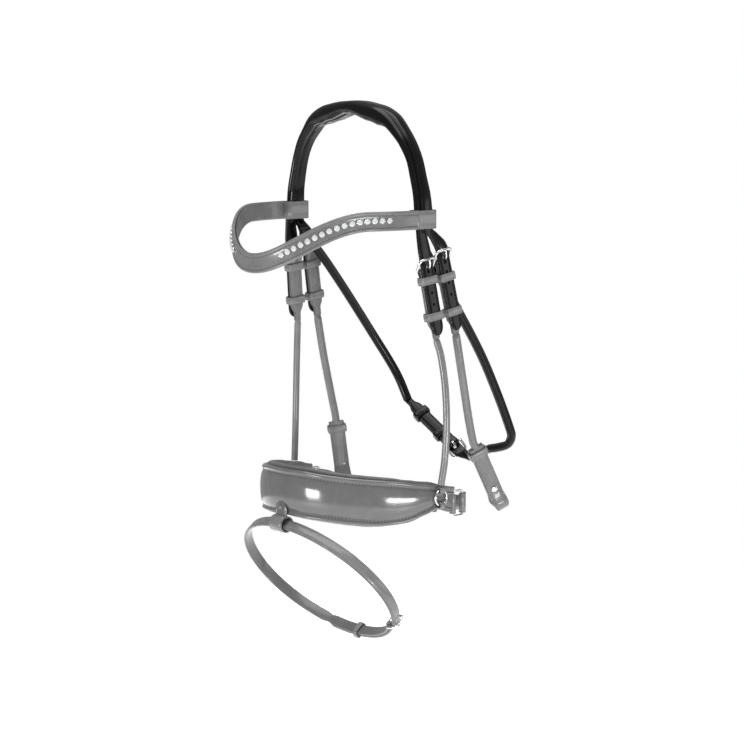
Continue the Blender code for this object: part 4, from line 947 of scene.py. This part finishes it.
def make_crystals():
    """A row of cut stones a side, each in its own round metal cup; no chain joins the cups."""
    lift = BAND_THICK / 2 + LAYER_GAP - 0.5 * MM
    for side, sign in SIDES:
        stones, stone_faces, cups, cup_faces = [], [], [], []
        for angle in spaced(CRYSTAL_FIRST, CRYSTAL_LAST, CRYSTALS - 1):
            point, normal = band_point(sign * angle, lift)
            place = frame_of(point + Z_AXIS * CRYSTAL_LIFT, normal, Z_AXIS)
            stone_faces += ring_faces(len(STONE_ROWS), 8, False, len(stones))
            cup_faces += ring_faces(20, len(CUP_PROFILE), True, len(cups))
            for row, (high, fat) in enumerate(STONE_ROWS):
                out = (0.35 + high) * MM
                for k in range(8):
                    turn = math.tau * (k + 0.5 * (row % 2)) / 8
                    reach = STONE_RADIUS * fat
                    stones.append(place @ Vector((out, reach * math.cos(turn), reach * math.sin(turn))))
            for k, turn in enumerate(spaced(0, math.tau, 20)[:-1]):
                claw = 0.35 if k % 5 == 0 else 0.0
                for row, (high, reach) in enumerate(CUP_PROFILE):
                    rise = (high + (claw if row in (3, 4) else 0.0)) * MM
                    reach = (reach - (claw * 0.4 if row == 4 else 0.0)) * MM
                    cups.append(place @ Vector((rise, reach * math.cos(turn), reach * math.sin(turn))))
        obj = solid(f"{side}_stones", stones, stone_faces)
        finish(obj, "crystal", "browband", [f"{side}_crystal_row"], 5)
        finish(solid(f"{side}_stone_cups", cups, cup_faces), "chrome", "browband")


def rolled_strap(name, path, radius, body, look, inward, replaced, hinge=None):
    """A rolled strap with the sewn seam on its inner side.

    Its first end is a dome. With a hinge it reaches flattened into the chape that holds it.
    """
    back = (path[0] - path[1]).normalized()
    if hinge:
        rises = [radius + 2.5 * MM, radius + 1.2 * MM, radius, radius * 0.66, radius * 0.33]
        squeeze = [1.75 * MM / radius, 1.8 * MM / radius, 1.9 * MM / radius, 0.72, 0.88]
        slim = [0.93, 0.95, 0.97, 0.98, 1.0]
    else:
        rises = [radius * math.cos(a) for a in DOME]
        squeeze = slim = [math.sin(a) for a in DOME]
    full = [path[0] + back * rise for rise in rises] + path
    blend = (hinge, body, full[1], path[0] - back * 5 * MM) if hinge else None
    shape = list(zip(slim, squeeze)) + [(1.0, 1.0)] * len(path)
    at = len(full) // 3
    obj = sweep(name, full, Y_AXIS, -inward,
                lambda i: [(u * shape[i][0], v * shape[i][1], tag) for u, v, tag in seamed_section(radius)],
                at=at)
    finish(obj, look, body, replaced, 50, blend)
    _, out = axes_of(full, Y_AXIS, -inward, at=at)
    seam = [(p - n * radius * 0.90, -n) for p, n in zip(full, out)][6:-2]
    stitches(f"{name}_seam", thread_of(look), body, [tuple(zip(*seam))], 3.0 * MM, 2.0 * MM, 0.3 * MM)


def make_hangers():
    """The noseband's rolled straps, each with the ring that it hangs the noseband by."""
    for side, sign in SIDES:
        ring = Vector(RING_CENTRE[side])
        eye = ring + Z_AXIS * RING_RADIUS
        knots = [hinge_start("hanger", sign), *mirrored(HANGER_MIDDLE, sign), eye + Z_AXIS * 5.6 * MM]
        body = f"{side}_hanger"
        rolled_strap(f"{side}_hanger_roll", along(knots, 60), HANGER_RADIUS, body, "grey_leather",
                     -X_AXIS * sign, [f"{side}_hanger_strap"], "crown")
        section = flat_section(7.0 * MM, 1.5 * MM, 0.6 * MM, 1.2 * MM, 0.2 * MM)
        fold = circle(eye, X_AXIS, Z_AXIS, 3.0 * MM, 24)
        finish(sweep(f"{side}_hanger_fold", fold, Y_AXIS, X_AXIS, section, True), "grey_leather", body)
        wire = circle(ring, Y_AXIS, Z_AXIS, RING_RADIUS, 36)
        obj = sweep(f"{side}_ring", wire, X_AXIS, Y_AXIS, wire_section(RING_WIRE, 12), True)
        finish(obj, "chrome", body, [f"{side}_noseband_ring"])


def make_cheeks():
    for side, sign in SIDES:
        body = f"{side}_cheek"
        top, end = mirrored([CHEEK_KEEPER[side], BIT_LOOP_END[side]], sign)
        down = (end - top).normalized()
        knots = [hinge_start("cheek", sign), *mirrored(CHEEK_MIDDLE, sign), top - down * 8 * MM, top]
        rolled_strap(f"{side}_cheek_roll", along(knots, 54), CHEEK_RADIUS, body, "grey_leather",
                     -X_AXIS * sign, [f"{side}_cheek_strap"], "crown")
        outward = Matrix.Rotation(BIT_LOOP_TURN[side], 3, "Z") @ (X_AXIS * sign)
        make_bit_loop(side, body, frame_of(top + down * 0.4 * MM, outward, -down), (end - top).length)


def turned(name, place, profile, radius, look, body, replaced):
    """A round stud. Its profile gives heights in millimetres and shares of the radius."""
    out, side, up = axes(place)
    verts = []
    for rise, fat in profile:
        verts += circle(place.translation + out * rise * MM, side, up, radius * fat, 24)
    finish(solid(name, verts, ring_faces(len(profile), 24, False)), look, body, replaced)


def make_bit_loop(side, body, place, length):
    """A strap end folded into a round loop, closed by a keeper and a hook stud."""
    out, across, _ = axes(place)
    layer = STRAP_THICK / 2 + 0.3 * MM
    radius = BIT_LOOP_RADIUS
    centre = radius - length
    neck = math.acos((radius + layer) / (radius * 2.0))
    throat = centre + 2.0 * radius * math.sin(neck)
    line = [(layer, z) for z in spaced(0, throat, 12)]
    start = math.pi / 2 - neck
    turns = spaced(start, 2 * start - math.pi, 26)[2:]
    line += [(radius * math.cos(a), centre + radius * math.sin(a)) for a in turns]
    line = [p for p in line if p[0] > 0.2 * MM]
    line += [(-x, z) for x, z in reversed(line)]
    path = [place @ Vector((x, 0, z)) for x, z in line]
    below = [max((centre + 3 * MM - z) / (radius + 3 * MM), 0.0) for _, z in line]
    widths = [BIT_LOOP_WIDTH * (1 - 0.42 * d**2.2) for d in below]
    obj = sweep(f"{side}_bit_fold", path, across, out, lambda i: flat_section(widths[i], STRAP_THICK), at=2)
    finish(obj, "grey_leather", body, [f"{side}_bit_loop"])
    rows = side_rows(path, across, out, widths, 1.7 * MM, SEWN_HEIGHT, 2, (1, 1))
    stitches(f"{side}_bit_sewing", "grey_thread", body, rows)
    reach = STRAP_THICK + 0.3 * MM
    keeper(f"{side}_bit_keeper", place, -8 * MM, body, width=BIT_LOOP_WIDTH, inner=-reach, outer=reach)
    stud = place @ Matrix.Translation((reach - 0.1 * MM, 0, throat + 6 * MM))
    turned(f"{side}_hook_stud", stud, STUD, 3.4 * MM, "chrome", body, [f"{side}_bit_stud"])


def fold_round(name, centre):
    """A leather end wrapped round the upright bar of a loop."""
    section = flat_section(20 * MM, 1.6 * MM, 0.6 * MM, 1.6 * MM, 0.2 * MM)
    ring = circle(centre, X_AXIS, Y_AXIS, 2.6 * MM, 24)
    finish(sweep(name, ring, Z_AXIS, X_AXIS, section, True), "grey_leather", "noseband")


def make_noseband():
    """The band with its padding, and on each side the ring's tab and the fold round the wire loop."""
    path, tall = nose_route(NOSE_END_ANGLE, 0.0)
    at = NOSE_STEPS // 2
    left = [NOSE_STEPS - abs(2 * k - NOSE_STEPS) for k in range(NOSE_STEPS + 1)]
    domes = [2.6 * MM * min(1.0, k / 16) for k in left]
    obj = sweep("noseband_face", path, Z_AXIS, -Y_AXIS,
                lambda i: rolled_edge_section(tall[i], NOSE_THICK, 2.5 * MM, domes[i]), at=at)
    finish(obj, "patent_leather", "noseband", ["noseband_band"])
    rows = side_rows(path, Z_AXIS, -Y_AXIS, tall, 5.3 * MM, NOSE_THICK / 2 - 0.55 * MM, at, (3, 3))
    stitches("noseband_sewing", "grey_thread", "noseband", rows, 3.6 * MM, 2.5 * MM)
    inner = -(NOSE_THICK + NOSE_PAD_THICK) / 2 - LAYER_GAP
    pad_path, pad_tall = nose_route(NOSE_PAD_ANGLE, inner, *NOSE_PAD_STEPS)

    def stuffed(i):
        pucker = 1 + 0.05 * math.sin(i * 1.9) + 0.03 * math.sin(i * 0.7 + 1)
        end = math.sqrt(min(1.0, (left[i] + 1) / 12))
        return [(u, v * (pucker if abs(v) > 2 * MM else 1.0) * end, t)
                for u, v, t in pad_section(pad_tall[i] * (0.8 + 0.2 * end), NOSE_PAD_THICK)]

    obj = sweep("noseband_pad", pad_path, Z_AXIS, -Y_AXIS, stuffed, at=at)
    finish(obj, "grey_padding", "noseband", ["noseband_padding"], 70)
    round_end = [(x, z) for x, z, _ in arc(0.0, 0.0, 2.75, 80, -80, 8)]
    line = [(-7.2, 2.75), (-4.0, 2.75), (-1.5, 2.75), *round_end, (-1.5, -2.75), (-4.0, -2.75), (-7.2, -2.75)]
    for side, sign in SIDES:
        low = Vector(RING_CENTRE[side]) - Z_AXIS * RING_RADIUS
        tab = [low + Vector((sign * x * MM, 0, z * MM)) for x, z in line]
        section = flat_section(6.4 * MM, 1.2 * MM, 0.5 * MM, 1.2 * MM, 0.15 * MM)
        finish(sweep(f"{side}_ring_tab", tab, Y_AXIS, Z_AXIS, section), "grey_leather", "noseband")
        fold_round(f"{side}_band_fold", Vector((sign * LOOP_FRONT[0], LOOP_FRONT[1], LOOP_Z[side])))


def make_crank():
    """The closing strap behind the jaw, with its two wire loops, its buckle and its pad."""
    _, y, z = CRANK_BAR
    place = frame_of(CRANK_BAR, Y_AXIS, X_AXIS)
    for side, sign in SIDES:
        front, rear = (Vector((sign * px, py, LOOP_Z[side])) for px, py in (LOOP_FRONT, LOOP_REAR))
        middle = frame_of((front + rear) / 2, X_AXIS * sign, rear - front)
        half = (rear - front).length / 2
        flat = rounded_box(-half, half, -LOOP_HEIGHT / 2, LOOP_HEIGHT / 2, 2.8 * MM, 6)
        out = axes(middle)[0]
        wire = sweep(f"{side}_crank_wire", [middle @ Vector((0.0, v, u)) for u, v in flat], out, out,
                     wire_section(WIRE_RADIUS), True)
        finish(wire, "chrome", "noseband", [f"{side}_crank_loop"])
    near = along(crank_route(CRANK_NEAR, "near", 1), 36) + [Vector((30 * MM, y, z)), Vector((6 * MM, y, z))]
    near = tipped(near, Vector((CRANK_TIP_X, y, z)))
    joined = place @ Vector((CHAPE_MIDDLE, 0, -49.7 * MM))
    far = along(crank_route(CRANK_FAR, "far", -1) + [joined], 36)
    near_widths = pointed_widths(near, BILLET_WIDTH, CRANK_EYE_HEIGHT)
    far_widths = pointed_widths(far + [far[-1] + X_AXIS * 0.1], CHAPE_WIDTH - 0.4 * MM, CRANK_EYE_HEIGHT)
    for (side, sign), path, widths in zip(SIDES, (near, far), (near_widths, far_widths)):
        out = Vector((sign, 0.4, 0))
        obj = sweep(f"crank_{side}_end", path, Z_AXIS, out, lambda i: flat_section(widths[i], STRAP_THICK))
        if side == "near":
            punch(obj, place, (-3, -2, -1))
        finish(obj, "grey_leather", "noseband", [f"crank_{side}_strap"])
        rows = side_rows(path, Z_AXIS, out, widths, 1.7 * MM, SEWN_HEIGHT, trim=(3, 6))
        stitches(f"crank_{side}_sewing", "grey_thread", "noseband", rows)
        fold_round(f"{side}_crank_fold", Vector((sign * LOOP_REAR[0], LOOP_REAR[1], LOOP_Z[side])))
    chape("crank_chape", place, 56 * MM, CHAPE_WIDTH / 2, "noseband", replaced=False)
    buckle_frame("crank_buckle_wire", place, BILLET_WIDTH, "noseband")
    tongue("crank_pin", place, "crank_tongue")
    keeper("crank_keeper", place, -33 * MM, "noseband")
    length, thick, tall = CHIN_PAD_SIZE
    shares = spaced(-1, 1, 40)

    def stuffed(i):
        end = max(1 - abs(shares[i]) ** 5, 0.0) ** 0.5
        drawn = math.sqrt(max(1 - 0.72 * shares[i] ** 4, 0)) * (0.35 + 0.65 * end)
        return pad_section(tall * max(drawn, 0.15), thick * max(end, 0.12))

    path = [Vector((length / 2 * s, CHIN_PAD_Y - 6 * MM * s**2, z)) for s in shares]
    obj = sweep("chin_cushion", path, Z_AXIS, -Y_AXIS, stuffed, at=20)
    finish(obj, "grey_padding", "noseband", ["chin_pad"], 70)


def morphed(share, radius, width):
    """A section between a round one, at share 0, and a flat strap's, at share 1."""
    made = []
    for u, v, tag in flat_section(width, STRAP_THICK):
        angle = math.atan2(v / STRAP_THICK, u / width)
        round_u, round_v = radius * math.cos(angle), radius * math.sin(angle)
        made.append((round_u + (u - round_u) * share, round_v + (v - round_v) * share, tag * share))
    return made


def make_throatlatch():
    """The near strap, rolled and then flat where it is the billet, and the far one with its buckle."""
    place = frame_of(THROAT_BAR, THROAT_OUTWARD, THROAT_UP)
    out, side, _ = axes(place)
    bend = [place @ Vector((x, 0, z)) for x, z in THROAT_BEND]
    rolled = along([*mirrored(THROAT_NEAR, 1), bend[0]], 110)
    flat = tipped(along(bend, 12), place @ Vector((0, 0, -THROAT_TIP)))
    back = (rolled[0] - rolled[1]).normalized()
    path = [rolled[0] + back * THROAT_RADIUS * math.cos(a) for a in DOME] + rolled + flat[1:]
    start = len(DOME) + len(rolled)
    root = THROAT_RADIUS * 1.9
    widths = [root] * start + pointed_widths(path[start - 1:], THROAT_WIDTH, root)[1:]

    def section(i):
        if i < len(DOME):
            return morphed(0.0, THROAT_RADIUS * math.sin(DOME[i]), THROAT_WIDTH)
        return morphed(eased((i - start + 12) / 14), THROAT_RADIUS, widths[i])

    obj = sweep("throat_near_roll", path, side, out, section, at=len(path) - 4)
    punch(obj, place, (-3, -2, -1), 2 * MM, 6 * MM)
    finish(obj, "black_leather", "throatlatch", ["throat_near_strap"], 45)
    joined = place @ Vector((CHAPE_MIDDLE, 0, 2 * MM - THROAT_CHAPE))
    rolled_strap("throat_far_roll", along([*mirrored(THROAT_FAR, -1), joined], 80), THROAT_RADIUS,
                 "throatlatch", "black_leather", X_AXIS, ["throat_far_strap"])
    chape("throat_chape", place, THROAT_CHAPE, THROAT_RADIUS * 0.8, "throatlatch", "black_leather",
          THROAT_WIDTH - 0.4 * MM, replaced=False)
    buckle_frame("throat_buckle_wire", place, THROAT_WIDTH, "throatlatch")
    tongue("throat_pin", place, "throat_tongue")
    keeper("throat_keeper", place, -20 * MM, "throatlatch", "black_leather", THROAT_WIDTH)
    keeper("throat_runner", place, -54 * MM, "throat_runner", "black_leather", THROAT_WIDTH)


def make_flash():
    """One sewn strap that starts at the buckle, runs round the muzzle and ends over its own start."""
    low, high = FLASH_RISE_DEG
    end = 360 + FLASH_TIP_DEG
    stops = list(range(FLASH_BUCKLE_DEG, end - 8, 2))
    stops += [end - d for d in (7, 6, 5, 4, 3.2, 2.4, 1.7, 1.1, 0.6, 0.2, 0.0)]
    path = [flash_point(stop, FLASH_LAYER * (eased((stop - low) / (high - low)) - 1))[0] for stop in stops]
    across = X_AXIS.cross(FLASH_SLOPE).normalized()
    widths = pointed_widths(path, FLASH_WIDTH, FLASH_WIDTH, 8 * MM)
    facing = flash_point(FLASH_BUCKLE_DEG)[1]
    obj = sweep("flash_body", path, across, facing,
                lambda i: flat_section(widths[i], STRAP_THICK - 0.1 * MM, crease=1.5 * MM))
    place = flash_place(FLASH_BUCKLE_DEG)
    punch(obj, place, ())
    finish(obj, "grey_leather", "flash", ["flash_strap"])
    rows = side_rows(path, across, facing, widths, 1.5 * MM, STRAP_THICK / 2 - 0.1 * MM, trim=(4, 10))
    rows += side_rows(path, across, facing, widths, 3.9 * MM, STRAP_THICK / 2 - 0.02 * MM, trim=(4, 10))
    stitches("flash_sewing", "grey_thread", "flash", rows, 3.2 * MM, 2.2 * MM, 0.28 * MM)
    out, side, up = axes(place)
    ring = circle(place @ Vector((BAR_X, 0, 0)), out, up, 2.42 * MM, 20)
    section = flat_section(FLASH_WIDTH - 0.6 * MM, 1.3 * MM, 0.5 * MM, 1.4 * MM, 0.15 * MM)
    fold = sweep("flash_fold", ring, side, out, section, True)
    notch(fold, place)
    finish(fold, "grey_leather", "flash")
    buckle_frame("flash_buckle_wire", place, FLASH_WIDTH, "flash")
    tongue("flash_pin", place, "flash_tongue")
    keeper("flash_keeper", flash_place(FLASH_KEEPER_DEG), 0.0, "flash", width=FLASH_WIDTH,
           inner=-FLASH_LAYER - STRAP_THICK / 2, height=7.5 * MM)


def make_flash_loop():
    """The loop below the noseband that the flash strap runs through, with its tab and rivet."""
    front = NOSE_MIDDLE_Y - NOSE_DEPTH - NOSE_THICK / 2 - 1.0 * MM
    centre, _ = flash_point(270, -FLASH_LAYER)
    ring = circle(centre, Z_AXIS, Y_AXIS, FLASH_LOOP_RADIUS + FLASH_LOOP_WALL / 2, 40)
    section = flat_section(FLASH_LOOP_WIDTH, FLASH_LOOP_WALL)
    loop = sweep("flash_loop_ring", ring, X_AXIS, Z_AXIS, section, True)
    finish(loop, "grey_leather", "noseband", ["noseband_flash_loop"])
    high = FLASH_TAB_TOP
    levels = spaced(centre.z + FLASH_LOOP_RADIUS + 0.8 * MM, high, 14)
    path = [Vector((0, front - FLASH_LOOP_WALL / 2, level)) for level in levels]
    rounding = [max((level - high + 8 * MM) / (8.2 * MM), 0) for level in levels]
    widths = [(FLASH_LOOP_WIDTH - 2 * MM) * math.sqrt(max(1 - r**2, 0.02)) for r in rounding]
    tab = sweep("flash_loop_tab", path, X_AXIS, -Y_AXIS, lambda i: flat_section(widths[i], FLASH_LOOP_WALL))
    finish(tab, "patent_leather", "noseband")
    place = frame_of((0, front - FLASH_LOOP_WALL - LAYER_GAP, FLASH_RIVET_Z), -Y_AXIS, Z_AXIS)
    turned("loop_rivet", place, RIVET, 2.8 * MM, "patent_leather", "noseband", ["flash_loop_rivet"])


def area(name, place, target, size, power):
    lamp = bpy.data.lights.new(name, "AREA")
    lamp.shape = "RECTANGLE"
    lamp.size, lamp.size_y = size
    lamp.energy = power
    obj = added(name, lamp)
    obj.location = place
    obj.rotation_euler = (Vector(target) - Vector(place)).to_track_quat("-Z", "Y").to_euler()
    return obj


def make_floor():
    material, tree, surface, where = shader("floor")
    speck = noise(tree, where, 2.0, 2.0)
    link(tree, mixed(tree, speck, (0.90, 0.90, 0.90), (0.93, 0.93, 0.93)), surface.inputs["Base Color"])
    fill(surface, {"Roughness": 0.8})
    rim = circle(Vector((0, 0, FLOOR_LEVEL)), X_AXIS, Y_AXIS, FLOOR_RADIUS, 64)
    ground = solid("floor", rim, [tuple(range(64))])
    ground.data.materials.append(material)


def make_world():
    """White behind the bridle, and a softer white that lights it."""
    world = bpy.data.worlds.new("studio")
    bpy.context.scene.world = world
    world.use_nodes = True
    tree = world.node_tree
    tree.nodes.clear()
    seen, cast, pick, rays, out = (tree.nodes.new(f"ShaderNode{kind}") for kind in (
        "Background", "Background", "MixShader", "LightPath", "OutputWorld"))
    fill(seen, {"Color": (1.0, 1.0, 1.0, 1.0), "Strength": 1.0})
    fill(cast, {"Color": (1.0, 1.0, 1.0, 1.0), "Strength": 0.30})
    link(tree, rays.outputs["Is Camera Ray"], pick.inputs[0])
    link(tree, cast.outputs[0], pick.inputs[1])
    link(tree, seen.outputs[0], pick.inputs[2])
    link(tree, pick.outputs[0], out.inputs["Surface"])


def make_studio():
    camera = added("camera", bpy.data.cameras.new("camera"))
    camera.location = (1.8195, -1.5651, 0.055)
    camera.rotation_euler = (math.radians(82.29), 0.0, math.radians(49.0))
    camera.data.lens = 111.5
    camera.data.sensor_width = 36.0
    bpy.context.scene.camera = camera
    make_floor()
    make_world()
    area("front", (0.0, -2.05, -0.60), (0, 0, -0.4), (0.55, 0.32), 14.0)
    area("side", (2.05, -0.35, -0.60), (0, 0, -0.4), (0.75, 0.22), 14.0)
    area("back", (-1.5, 1.5, 0.5), (0, 0, -0.3), (1.0, 0.8), 26.0).visible_glossy = False
    area("near_side", (1.6, 1.4, -0.15), (0.15, 0, -0.15), (1.2, 0.6), 4.0)
    overhead = bpy.data.lights.new("overhead", "SUN")
    overhead.energy = 2.6
    overhead.angle = math.radians(60)
    added("overhead", overhead)
    bpy.context.scene.view_settings.view_transform = "Standard"


make_studio()
make_crown()
make_stacks()
make_browband()
make_crystals()
make_hangers()
make_cheeks()
make_noseband()
make_crank()
make_throatlatch()
make_flash()
make_flash_loop()
